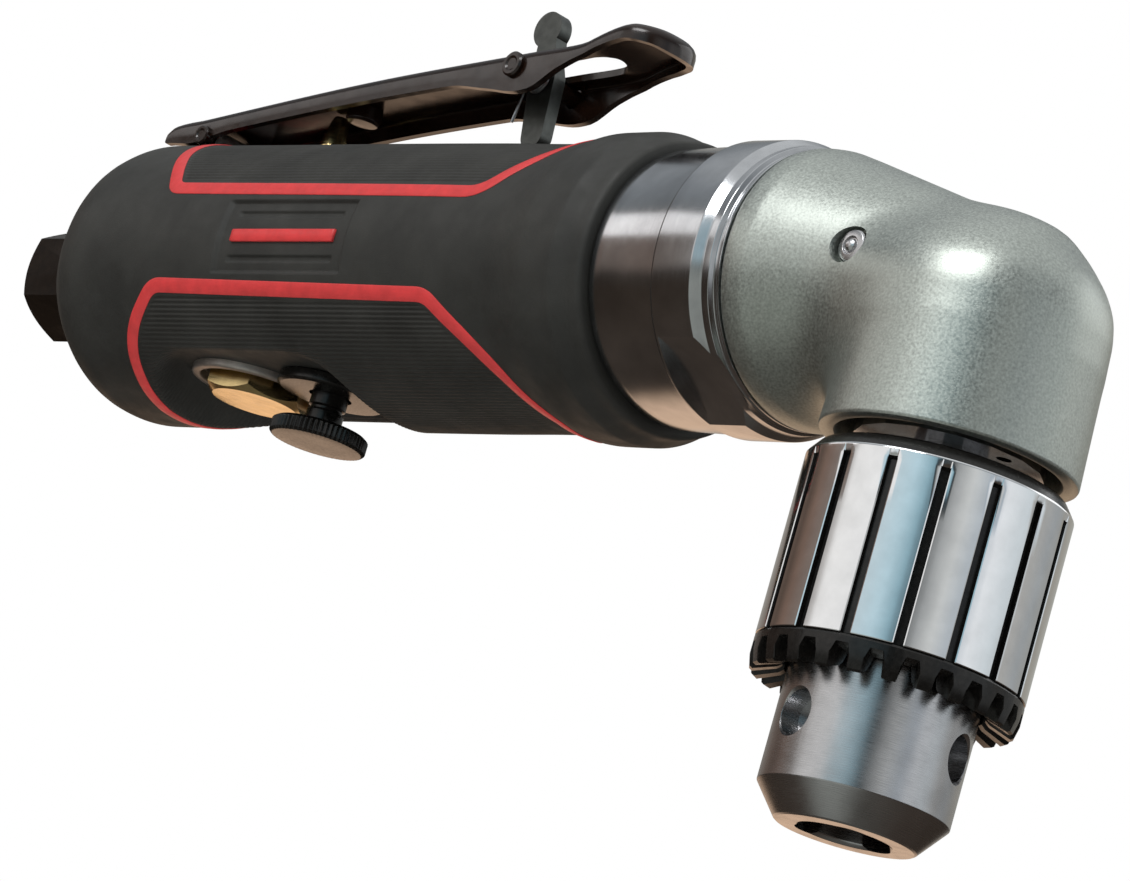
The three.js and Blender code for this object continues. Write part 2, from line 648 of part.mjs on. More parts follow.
function chuckBody() {
  const outside = spun('z', [
    [0, CHUCK_TOP - 0.6], [12.9, CHUCK_TOP - 0.6], [13.6, -26.6], [13.6, -46.2], [13.2, -46.2], [11.9, -51.3],
    [NOSE_R, -51.3], [NOSE_R, -69.4], [9.3, NOSE_Z], [0, NOSE_Z],
  ], FINE, [CHUCK_X, 0, 0]);
  const thread = rod('z', 5, -38.4, -20, SMALL, [CHUCK_X, 0, 0]);
  const bore = rod('z', 5.8, -80, -42, MEDIUM, [CHUCK_X, 0, 0]);
  const jawHoles = turnedCopies(JAWS, JAW_PHASE, (angle) => (
    aroundChuck(jawPath(JAW_R + GAP, SMALL, -84, JAW_TOP_Z + 1.4), angle)));
  const keyHoles = turnedCopies(JAWS, JAW_PHASE + 60, (angle) => {
    const hole = new THREE.CylinderGeometry(3, 3, 5, SMALL).rotateZ(Math.PI / 2);
    return aroundChuck(hole.translate(11.5, 0, -61), angle);
  });
  return cutAll(outside, [thread, bore, ...jawHoles, ...keyHoles]);
}

function chuckSleeve() {
  const outside = spun('z', [
    [0, SLEEVE_BOTTOM], [16.6, SLEEVE_BOTTOM], [17.6, -54.6], [SLEEVE_R, -51.6], [SLEEVE_R, -26.9],
    [16.6, CHUCK_TOP], [0, CHUCK_TOP],
  ], FINE, [CHUCK_X, 0, 0]);
  const inside = spun('z', [
    [0, -60], [12.95, -60], [12.95, -51.5], [14.95, -51.5], [14.95, -31], [14, -29.5], [14, -20], [0, -20],
  ], MEDIUM, [CHUCK_X, 0, 0]);
  const grooves = turnedCopies(SLEEVE_GROOVES, 0, (angle) => (
    aroundChuck(new THREE.BoxGeometry(2, 1.1, 23.6).translate(SLEEVE_R + 0.3, 0, -39.6), angle)));
  const notches = turnedCopies(CHUCK_GEAR_TEETH, 0, (angle) => {
    const corners = [[-1.55, -3], [1.55, -3], [0, 2]];
    const wedge = new THREE.Shape(corners.map(([u, v]) => new THREE.Vector2(u, v)));
    const geometry = new THREE.ExtrudeGeometry(wedge, { depth: 11, bevelEnabled: false });
    geometry.rotateX(Math.PI / 2).rotateZ(Math.PI / 2).translate(11.3, 0, 0);
    return aroundChuck(geometry.rotateY(radians(-28)).translate(1.2, 0, SLEEVE_BOTTOM - 7.3), angle);
  });
  return cutAll(outside.subtract(inside), [...grooves, ...notches]);
}

// The split nut that the jaws' threads run in, pressed into the sleeve as two halves.
function nutHalf(side) {
  const whole = spun('z', [[13, -51], [14.65, -51], [14.65, -46.5], [14.2, -46.5]], FINE, [CHUCK_X, 0, 0]);
  const middle = side * 0.15;
  const half = side > 0 ? box(170, 220, middle, 20, -60, -40) : box(170, 220, -20, middle, -60, -40);
  return whole.intersect(half);
}

function chuckJaw(angle) {
  const blank = aroundChuck(jawPath(JAW_R, SMALL, JAW_TIP_Z - 5, JAW_TOP_Z), angle);
  const reach = 40; // well past the blank
  const tipFlat = 0.3;
  const [back, side] = [JAW_OPEN_R + reach * Math.cos(radians(60)), reach * Math.sin(radians(60))];
  const wedge = new THREE.Shape([
    [JAW_OPEN_R, -tipFlat], [back, -side], [JAW_OPEN_R + reach, -side],
    [JAW_OPEN_R + reach, side], [back, side], [JAW_OPEN_R, tipFlat],
  ].map(([u, v]) => new THREE.Vector2(u, v)));
  const faces = new THREE.ExtrudeGeometry(wedge, { depth: 60, bevelEnabled: false });
  const keep = aroundChuck(faces.translate(0, 0, JAW_TIP_Z), angle);
  const backFlat = new THREE.BoxGeometry(10, 10, 80).translate(5, 0, 0);
  backFlat.rotateY(radians(JAW_TILT)).translate(JAW_BACK_R, 0, JAW_TIP_Z);
  const within = rod('z', 14.6, -90, -20, FINE, [CHUCK_X, 0, 0]);
  return blank.intersect(keep).intersect(within).subtract(aroundChuck(backFlat, angle));
}

// ---------------------------------------------------------------- the assembly

add('inlet_bushing', 'bronze', inletBushing());
add('inlet_screen', 'steel', inletScreen());
add('motor_housing', 'aluminium', motorHousing());
add('grip_sleeve', 'rubber', gripSleeve());

add('throttle_lever', 'blackSteel', throttleLever());
add('lever_pin', 'blackSteel', crossPin(LEVER_PIVOT, 1, 1.5));
add('lockoff_latch', 'darkSteel', lockoffLatch());
add('latch_pin', 'blackSteel', crossPin(LATCH_PIVOT, 1.3, 1.9));
add('latch_spring', 'steel', latchSpring());

add('valve_stem', 'brass', valveStem());
add('valve_poppet', 'seal', valvePoppet());
add('valve_seat', 'brass', valveSeat());
add('stem_seal', 'seal', stemSeal());
add('stem_bushing', 'brass', stemBushing());
add('valve_spring', 'steel', valveSpring());
add('valve_plug', 'brass', valvePlug());
add('plug_seal', 'seal', plugSeal());
add('regulator_flange', 'blackSteel', regulatorFlange());
add('regulator_spindle', 'blackSteel', regulatorSpindle());
add('regulator_knob', 'blackSteel', regulatorKnob());

add('rear_end_plate', 'steel', rearEndPlate());
add('rear_rotor_bearing', 'steel', bearing('x', 3.35, 7.2, 80.8, 85.1));
add('cylinder_liner', 'steel', cylinderLiner());
add('rotor', 'steel', rotor());
turnedCopies(VANES, 90, (angle, i) => (
  add(`rotor_vane_${i + 1}`, 'phenolic', vaneBlock(angle, 5.3, ROTOR_R - 0.2, 0.7, 86.8, 113.2))));
add('front_end_plate', 'steel', frontEndPlate());
add('front_rotor_bearing', 'steel', bearing('x', 3.35, 7.2, 115.1, 119.1));

add('ring_gear', 'darkSteel', ringGear());
turnedCopies(PLANETS, 90, (angle, i) => add(`planet_gear_${i + 1}`, 'darkSteel', planetGear(angle)));
turnedCopies(PLANETS, 90, (angle, i) => add(`planet_pin_${i + 1}`, 'steel', planetPin(angle)));
add('planet_carrier', 'darkSteel', planetCarrier());
add('carrier_bearing', 'steel', bearing('x', 7.5, GEAR_BORE_R - GAP, 136.5, 144.5));

add('clamp_collar', 'darkSteel', clampCollar());
add('head_housing', 'castMetal', headHousing());
add('grease_fitting', 'steel', greaseFitting());
add('pinion_bearing', 'steel', bearing('x', 4.35, 10.5, 171.4, 179.4));
add('bevel_pinion', 'darkSteel', bevelPinion());
add('bevel_gear', 'darkSteel', bevelGear());
add('spindle', 'steel', spindle());
add('spindle_bush', 'bronze', spindleBush());
add('spindle_bearing', 'steel', bearing('z', 5.35, 12.6, -18.1, -11.1, [CHUCK_X, 0, 0]));
add('bearing_cap', 'darkSteel', bearingCap());

add('chuck_body', 'steel', chuckBody());
add('chuck_sleeve', 'chrome', chuckSleeve());
add('chuck_nut_half_1', 'steel', nutHalf(1));
add('chuck_nut_half_2', 'steel', nutHalf(-1));
turnedCopies(JAWS, JAW_PHASE, (angle, i) => add(`chuck_jaw_${i + 1}`, 'darkSteel', chuckJaw(angle)));

// The origin is the middle of the base: the bounding box's centre in x and y, and its lowest level.
const bounds = new THREE.Box3().setFromObject(assembly);
const centre = bounds.getCenter(new THREE.Vector3());
assembly.position.set(-centre.x, -centre.y, -bounds.min.z);

export default assembly;
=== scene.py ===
"""Looks for the right-angle air drill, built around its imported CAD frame.

Lengths in this file are millimetres in the tool's own frame: +X runs along the motor axis from the rear
face of the air inlet, y and z are zero on that axis, +Z is up. placed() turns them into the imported
frame, in metres.
"""

import json
import math
from contextlib import contextmanager

import bmesh
import bpy
import numpy as np
from mathutils import Matrix, Vector


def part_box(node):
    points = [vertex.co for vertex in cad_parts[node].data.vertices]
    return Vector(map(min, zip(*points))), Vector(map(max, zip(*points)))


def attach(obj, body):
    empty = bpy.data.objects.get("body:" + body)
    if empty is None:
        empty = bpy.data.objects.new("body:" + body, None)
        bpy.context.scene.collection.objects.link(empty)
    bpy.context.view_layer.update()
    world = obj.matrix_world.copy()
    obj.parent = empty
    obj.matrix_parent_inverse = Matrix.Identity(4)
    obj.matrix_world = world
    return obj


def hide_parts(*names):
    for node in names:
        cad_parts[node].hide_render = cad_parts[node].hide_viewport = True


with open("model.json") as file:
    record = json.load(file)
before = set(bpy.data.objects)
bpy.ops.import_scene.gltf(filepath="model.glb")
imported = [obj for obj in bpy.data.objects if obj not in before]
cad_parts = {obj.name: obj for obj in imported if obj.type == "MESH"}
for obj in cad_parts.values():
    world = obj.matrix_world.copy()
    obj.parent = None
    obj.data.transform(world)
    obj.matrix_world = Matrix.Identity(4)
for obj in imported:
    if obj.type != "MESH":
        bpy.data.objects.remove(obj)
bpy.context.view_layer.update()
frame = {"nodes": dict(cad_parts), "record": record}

MM = 0.001
AXIS = 0.001  # radius, in millimetres, of a profile point that lies on its axis
inlet_low, inlet_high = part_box("inlet_bushing")
ORIGIN = Vector((inlet_low.x, 0.0, (inlet_low.z + inlet_high.z) / 2))
cap_low, cap_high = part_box("bearing_cap")
CHUCK_X = ((cap_low.x + cap_high.x) / 2 - ORIGIN.x) / MM  # where the chuck's axis crosses the motor axis

VALVE_X, REGULATOR_X = 54.0, 70.5  # axes of the valve and of the regulator
LEVER_PIVOT, LATCH_PIVOT = (31.6, 21.8), (97.1, 31.6)  # x and z of the two pins
LEVER_HALF = 6.7  # half the lever's width


# ---------------------------------------------------------------- numbers along a curve

def curve(points):
    """A smooth, non-overshooting function through (x, value) points, for arrays."""
    xs = np.array([p[0] for p in points], float)
    ys = np.array([p[1] for p in points], float)
    step, rise = np.diff(xs), np.diff(ys)
    slope = rise / step
    tangent = np.zeros(len(xs))
    tangent[0], tangent[-1] = slope[0], slope[-1]
    for i in range(1, len(xs) - 1):
        a, b = slope[i - 1], slope[i]
        if a * b > 0:
            w1, w2 = 2 * step[i] + step[i - 1], step[i] + 2 * step[i - 1]
            tangent[i] = (w1 + w2) / (w1 / a + w2 / b)

    def value(x):
        x = np.clip(np.asarray(x, float), xs[0], xs[-1])
        i = np.clip(np.searchsorted(xs, x, side="right") - 1, 0, len(step) - 1)
        t = (x - xs[i]) / step[i]
        return ((2 * t**3 - 3 * t**2 + 1) * ys[i] + (t**3 - 2 * t**2 + t) * step[i] * tangent[i]
                + (-2 * t**3 + 3 * t**2) * ys[i + 1] + (t**3 - t**2) * step[i] * tangent[i + 1])

    return value


def smoothstep(low, high, x):
    t = np.clip((x - low) / (high - low), 0, 1)
    return t * t * (3 - 2 * t)


def rounded(points, radius, closed=False, steps=4):
    """A polyline with its corners rounded: radius is one number or one for each corner."""
    points = [np.array(p, float) for p in points]
    n = len(points)
    radii = [radius] * n if np.isscalar(radius) else list(radius)
    out = []
    for i, p in enumerate(points):
        if not closed and i in (0, n - 1) or radii[i] <= 0:
            out.append(p)
            continue
        a, b = points[i - 1] - p, points[(i + 1) % n] - p
        la, lb = np.linalg.norm(a), np.linalg.norm(b)
        a, b = a / la, b / lb
        bend = math.acos(max(-1, min(1, float(-a @ b))))
        if bend < 0.02:
            out.append(p)
            continue
        back = min(radii[i] * math.tan(bend / 2), la * 0.48, lb * 0.48)
        for k in range(steps + 1):
            t = k / steps
            out.append(p + a * back * (1 - t) ** 2 + b * back * t**2)
    return out


def signed_distance(points, loop):
    """Distance from each 2-D point to a closed loop, negative inside."""
    loop = np.asarray(loop, float)
    best = np.full(len(points), 1e9)
    inside = np.zeros(len(points), bool)
    for a, b in zip(loop, np.roll(loop, -1, axis=0)):
        ab = b - a
        length = float(ab @ ab)
        if length < 1e-12:
            continue
        t = np.clip(((points - a) @ ab) / length, 0, 1)
        best = np.minimum(best, np.hypot(*(points - a - t[:, None] * ab).T))
        crosses = (a[1] > points[:, 1]) != (b[1] > points[:, 1])
        if a[1] != b[1]:
            inside ^= crosses & (points[:, 0] < (b[0] - a[0]) * (points[:, 1] - a[1]) / (b[1] - a[1]) + a[0])
    return np.where(inside, -best, best)


# ---------------------------------------------------------------- meshes

def placed(point):
    """A point of the tool's own frame, in millimetres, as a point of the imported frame, in metres."""
    return ORIGIN + Vector(point) * MM


def linked(name, data):
    """A new object in the scene."""
    obj = bpy.data.objects.new(name, data)
    bpy.context.scene.collection.objects.link(obj)
    return obj


MERGE = 1e-6


@contextmanager
def edited(mesh):
    """The mesh's points, edges and faces, which go back to it with the faces turned outward."""
    bm = bmesh.new()
    bm.from_mesh(mesh)
    yield bm
    bmesh.ops.recalc_face_normals(bm, faces=bm.faces)
    bm.to_mesh(mesh)
    bm.free()


def make(name, verts, faces, sharp=35):
    mesh = bpy.data.meshes.new(name)
    mesh.from_pydata([tuple(placed(v)) for v in verts], [], faces)
    mesh.update()
    return finish_mesh(linked(name, mesh), sharp)


def finish_mesh(obj, sharp):
    """Merges doubles and shades smooth up to a crease angle."""
    with edited(obj.data) as bm:
        bmesh.ops.remove_doubles(bm, verts=bm.verts, dist=MERGE)
        bmesh.ops.dissolve_degenerate(bm, edges=bm.edges, dist=MERGE)
    obj.data.shade_smooth()
    obj.data.set_sharp_from_angle(angle=math.radians(sharp))
    return obj


def baked(obj):
    """The object's mesh as it is drawn."""
    return bpy.data.meshes.new_from_object(obj.evaluated_get(bpy.context.evaluated_depsgraph_get()))


def modified(obj, kind, **settings):
    """Adds one modifier and applies it."""
    modifier = obj.modifiers.new(kind, kind)
    for key, value in settings.items():
        setattr(modifier, key, value)
    mesh = baked(obj)
    obj.modifiers.clear()
    obj.data = mesh


def bevelled(obj, width, segments, angle):
    modified(obj, "BEVEL", width=width * MM, segments=segments, limit_method="ANGLE",
             angle_limit=math.radians(angle), harden_normals=False)


def moved(obj, *steps):
    """Moves the mesh about the tool's origin, by steps from the last to the first."""
    matrix = Matrix.Translation(ORIGIN)
    for step in steps:
        matrix = matrix @ step
    obj.data.transform(matrix @ Matrix.Translation(-ORIGIN))
    return obj


def combined(obj, tool, operation="DIFFERENCE"):
    """Cuts the tool out of a piece, joins it on, or keeps what they share."""
    modified(obj, "BOOLEAN", object=tool, operation=operation, solver="EXACT")
    bpy.data.objects.remove(tool)


AXES = {
    "x": lambda r, a, h, c: (h, c[1] - r * math.cos(a), c[2] + r * math.sin(a)),
    "y": lambda r, a, h, c: (c[0] + r * math.cos(a), h, c[2] + r * math.sin(a)),
    "z": lambda r, a, h, c: (c[0] + r * math.cos(a), c[1] + r * math.sin(a), h),
}


def lathe(name, axis, profile, sides=96, centre=(0, 0, 0), closed=True, sharp=35):
    """Turns (radius, height) points about an axis. A closed profile comes back to its first point."""
    verts, faces = [], []
    n = len(profile)
    for k in range(sides):
        a = 2 * math.pi * k / sides
        verts += [AXES[axis](p[0], a, p[1], centre) for p in profile]
    last = n if closed else n - 1
    for k in range(sides):
        here, there = k * n, (k + 1) % sides * n
        for i in range(last):
            j = (i + 1) % n
            faces.append((here + i, here + j, there + j, there + i))
    return make(name, verts, faces, sharp)


PLANES = {
    "xy": lambda u, v, h: (u, v, h),
    "xz": lambda u, v, h: (u, h, v),
    "yz": lambda u, v, h: (h, u, v),
}


def prism(name, plane, outline, low, high, sharp=35):
    """A flat outline carried straight from low to high."""
    n = len(outline)
    verts = [PLANES[plane](u, v, h) for h in (low, high) for u, v in outline]
    faces = [tuple(range(n)), tuple(range(n, 2 * n))]
    faces += [(i, (i + 1) % n, n + (i + 1) % n, n + i) for i in range(n)]
    return make(name, verts, faces, sharp)


def stadium(a, b, radius, steps=16):
    """Outline round two points at one radius."""
    heading = math.atan2(b[1] - a[1], b[0] - a[0])
    out = []
    for centre, turn in ((a, math.pi / 2), (b, -math.pi / 2)):
        for k in range(steps + 1):
            angle = heading + turn + math.pi * k / steps
            out.append((centre[0] + radius * math.cos(angle), centre[1] + radius * math.sin(angle)))
    return out


def polygon(corners, radius, centre=(0, 0), start=0.0):
    return [(centre[0] + radius * math.cos(start + 2 * math.pi * k / corners),
             centre[1] + radius * math.sin(start + 2 * math.pi * k / corners)) for k in range(corners)]


def grid(name, rows, around=False, sharp=60):
    """A mesh from rows of points; each row closes on itself when around is true."""
    n = len(rows[0])
    verts = [p for row in rows for p in row]
    last = n if around else n - 1
    faces = []
    for r in range(len(rows) - 1):
        for i in range(last):
            j = (i + 1) % n
            faces.append((r * n + i, r * n + j, (r + 1) * n + j, (r + 1) * n + i))
    return make(name, verts, faces, sharp)


# ---------------------------------------------------------------- materials

class Nodes:
    """The shader nodes of one material or world."""

    def __init__(self, owner):
        owner.use_nodes = True
        self.tree = owner.node_tree

    def node(self, kind, **settings):
        node = self.tree.nodes.new(kind)
        for key, value in settings.items():
            setattr(node, key, value)
        return node

    def link(self, a, b):
        self.tree.links.new(a, b)

    def ramp(self, value, stops):
        """A colour for each value, from (value, colour) stops."""
        ramp = self.node("ShaderNodeValToRGB")
        elements = ramp.color_ramp.elements
        while len(elements) < len(stops):
            elements.new(0.5)
        for element, (at, color) in zip(elements, stops):
            element.position = at
            element.color = (*color, 1)
        self.link(value, ramp.inputs["Fac"])
        return ramp.outputs["Color"]

    def spread(self, value, low, high, to_low=0.0, to_high=1.0, **settings):
        spread = self.node("ShaderNodeMapRange", **settings)
        spread.inputs["From Min"].default_value = low
        spread.inputs["From Max"].default_value = high
        spread.inputs["To Min"].default_value = to_low
        spread.inputs["To Max"].default_value = to_high
        self.link(value, spread.inputs["Value"])
        return spread.outputs["Result"]


NOISE_LOW, NOISE_HIGH = 0.3, 0.7  # where nearly all values of a noise lie
LOOKS = {}


class Look(Nodes):
    """One Principled material, with procedural detail in the object's own metres.

    A pattern is the output of another node, or (size,), (size, detail) or (size, detail, stretch) of a noise.
    """

    def __init__(self, name, color, rough, metal=0.0, specular=0.5):
        self.material = bpy.data.materials.new(name)
        super().__init__(self.material)
        self.shader = self.tree.nodes["Principled BSDF"]
        self.color = color
        self.shader.inputs["Base Color"].default_value = (*color, 1)
        self.shader.inputs["Roughness"].default_value = rough
        self.shader.inputs["Metallic"].default_value = metal
        self.shader.inputs["Specular IOR Level"].default_value = specular
        self.place = self.node("ShaderNodeTexCoord").outputs["Object"]
        self.normal = None
        LOOKS[name] = self

    def scaled_place(self, size, stretch=(1, 1, 1)):
        mapping = self.node("ShaderNodeMapping")
        mapping.inputs["Scale"].default_value = [1 / (size * MM * s) for s in stretch]
        self.link(self.place, mapping.inputs["Vector"])
        return mapping.outputs["Vector"]

    def noise(self, size, detail=3, stretch=(1, 1, 1)):
        """Noise with features of that size in millimetres, stretched along the axes."""
        noise = self.node("ShaderNodeTexNoise")
        noise.inputs["Scale"].default_value = 1
        noise.inputs["Detail"].default_value = detail
        noise.inputs["Roughness"].default_value = 0.5
        self.link(self.scaled_place(size, stretch), noise.inputs["Vector"])
        return noise.outputs["Fac"]

    def cells(self, size):
        """Cells of that size in millimetres, each at its own level."""
        voronoi = self.node("ShaderNodeTexVoronoi")
        voronoi.inputs["Scale"].default_value = 1
        self.link(self.scaled_place(size), voronoi.inputs["Vector"])
        return voronoi.outputs["Color"]

    def value(self, pattern):
        return self.noise(*pattern) if isinstance(pattern, tuple) else pattern

    def tint(self, pattern, dark, light):
        """Colour that varies between two shares of the base colour."""
        stops = [(NOISE_LOW, [c * dark for c in self.color]),
                 (NOISE_HIGH, [min(1, c * light) for c in self.color])]
        self.link(self.ramp(self.value(pattern), stops), self.shader.inputs["Base Color"])
        return self

    def vary_rough(self, pattern, low, high):
        varied = self.spread(self.value(pattern), NOISE_LOW, NOISE_HIGH, low, high)
        self.link(varied, self.shader.inputs["Roughness"])
        return self

    def bump(self, pattern, height, strength=1.0):
        """Relief of that height in millimetres, on top of any relief before it."""
        bump = self.node("ShaderNodeBump")
        bump.inputs["Strength"].default_value = strength
        bump.inputs["Distance"].default_value = height * MM
        self.link(self.value(pattern), bump.inputs["Height"])
        if self.normal:
            self.link(self.normal, bump.inputs["Normal"])
        self.normal = bump.outputs["Normal"]
        self.link(self.normal, self.shader.inputs["Normal"])
        return self

    def brushed(self, size, stretch, height, low, high):
        """Fine lines that run round an axis: thin along it, long across it."""
        lines = self.noise(size, 4, stretch)
        return self.vary_rough(lines, low, high).bump(lines, height, 0.6)


def make_looks():
    rubber = Look("grip_rubber", (0.028, 0.0275, 0.0245), 0.6, specular=0.4)
    rubber.tint((9, 5), 0.8, 1.3).vary_rough((3,), 0.54, 0.7).bump((0.16, 4), 0.03, 0.7)

    red = Look("stripe_red", (0.68, 0.042, 0.044), 0.5, specular=0.45)
    red.tint((2.2,), 0.9, 1.1).vary_rough((0.8,), 0.42, 0.56).bump((0.15,), 0.012, 0.6)

    lever = Look("lever_black", (0.011, 0.0048, 0.0028), 0.22, specular=0.45)
    lever.tint((6,), 0.7, 1.4).vary_rough((2.5, 4), 0.14, 0.26).bump((1.4, 1), 0.02, 0.35)

    latch = Look("latch_steel", (0.085, 0.09, 0.085), 0.4, metal=0.85)
    latch.tint((1.5, 5), 0.85, 1.2).vary_rough((0.9, 4), 0.34, 0.46).bump((0.15,), 0.006, 0.6)

    spring = Look("spring_steel", (0.42, 0.42, 0.43), 0.3, metal=1)
    spring.tint((0.6,), 0.75, 1.15).bump((0.1,), 0.004)

    ground = Look("machined_steel", (0.52, 0.52, 0.53), 0.26, metal=1)
    ground.tint((4, 5), 0.86, 1.08).brushed(0.05, (40, 40, 1), 0.0022, 0.2, 0.34)

    collar = Look("dark_steel", (0.50, 0.51, 0.525), 0.2, metal=1)
    collar.tint((7, 5), 0.82, 1.18).brushed(0.06, (1, 60, 60), 0.002, 0.13, 0.22)

    oxide = Look("black_oxide", (0.012, 0.011, 0.01), 0.28, metal=0.4)
    oxide.tint((0.7, 5), 0.7, 1.5).vary_rough((0.5,), 0.16, 0.28).bump((0.3,), 0.002)

    chrome = Look("chuck_chrome", (0.78, 0.79, 0.8), 0.09, metal=1)
    chrome.tint((3, 5), 0.93, 1.05).brushed(0.05, (50, 50, 1), 0.0012, 0.06, 0.15)

    head = Look("head_metal", (0.42, 0.45, 0.415), 0.38, metal=0.9)
    grain = head.noise(0.35, 4)
    head.tint(grain, 0.78, 1.22).vary_rough(grain, 0.33, 0.47)
    head.bump(grain, 0.02, 0.45).bump(head.cells(0.22), 0.02, 0.3)

    housing = Look("housing_metal", (0.50, 0.455, 0.42), 0.42, metal=0.9)
    housing.tint((1.2, 5), 0.85, 1.12).vary_rough((0.5,), 0.36, 0.52).bump((0.2,), 0.01)

    brass = Look("brass", (0.93, 0.70, 0.34), 0.2, metal=1)
    brass.tint((2.5, 5), 0.85, 1.1).brushed(0.08, (30, 30, 1), 0.0025, 0.13, 0.26)

    bronze = Look("inlet_bronze", (0.012, 0.0075, 0.0045), 0.36, metal=0.75)
    bronze.tint((1.4, 5), 0.7, 1.4).vary_rough((0.8,), 0.3, 0.48).bump((0.2,), 0.008)

    Look("seal_rubber", (0.018, 0.018, 0.018), 0.6).tint((1,), 0.8, 1.3).bump((0.2,), 0.01)

    vane = Look("vane_resin", (0.28, 0.15, 0.07), 0.55)
    vane.tint((0.3, 3, (6, 1, 1)), 0.7, 1.2).bump((0.2,), 0.01)

    bush = Look("bush_bronze", (0.42, 0.25, 0.12), 0.4, metal=0.9)
    bush.tint((0.3, 5), 0.8, 1.15).bump((0.15,), 0.006)


make_looks()


def dress(obj, look):
    """Gives a piece its look, as its one material slot."""
    obj.data.materials.clear()
    obj.data.materials.append(LOOKS[look].material)
    return obj


for part in frame["record"]["subparts"]:
    node = frame["nodes"][part["node"]]
    node.data.materials.clear()
    node.data.materials.append(LOOKS[part["material_slot"]].material)
    node.data.shade_smooth()
    node.data.set_sharp_from_angle(angle=math.radians(30))


# ---------------------------------------------------------------- grip

GRIP_R = curve([  # (x, radius)
    (10.6, 9.4), (11.2, 10.1), (14, 12.6), (17, 14.9), (22, 18.6), (25, 20.4), (29, 21.2), (58, 21.0),
    (80, 20.85), (102, 20.6), (118, 20.3), (123, 20.9), (127.5, 21.64), (133.2, 21.68), (133.8, 21.5),
    (136.2, 20.7), (137.5, 20.5), (138.1, 20.25), (138.3, 19.9),
])
WRAP = 21.0  # radius at which distances round the grip are measured
RIBS = 188
COLUMNS_PER_RIB = 5
PANEL_SINK, RIB_DEPTH = 0.05, 0.17
STRIPE_HALF = 1.1


def panel_loop(points, radii):
    """A closed outline of (x, distance round the grip from its ridge), from the near side's (x, degrees)."""
    near = [(x, math.radians(degrees) * WRAP) for x, degrees in points]
    far = [(x, -distance) for x, distance in reversed(near)]
    return rounded(near + far, list(radii) + list(reversed(radii)), closed=True, steps=8)


TOP_LOOP = panel_loop([(36.4, 9), (38, 39), (46, 68), (112.7, 70), (119.8, 43), (123, 9)],
                      (0, 22, 3, 6, 25, 0))
BOTTOM_LOOP = panel_loop([(38.1, 9), (38.8, 22), (41.3, 49), (47.6, 69.5), (107.1, 66.5), (116.8, 44),
                          (124.4, 9)], (0, 20, 20, 4, 5, 40, 0))
POCKET_R, POCKET_FLOOR = 13.5, -15.15  # the pocket round the valve and the regulator
POCKET_REAR, POCKET_FRONT, POCKET_SIDE = 1.24, 1.38, 1.28  # how much steeper distance grows there
PORT_R, PORT_FLOOR = 9.9, -14.2  # opening in the rubber round the valve port
# the badge recess, the plain bar in it, and the two grooves above and below the bar
BADGE_X, BADGE_HALF_LENGTH, BADGE_HALF_HEIGHT, BADGE_DEPTH = 75.0, 13.6, 5.4, 0.55
BAR_HALF_LENGTH, BAR_HALF_HEIGHT = 11.2, 0.95
GROOVE_HEIGHT, GROOVE_HALF, GROOVE_DEPTH = 3.55, 0.35, 0.3
WINDOW_FLOOR = 17.2


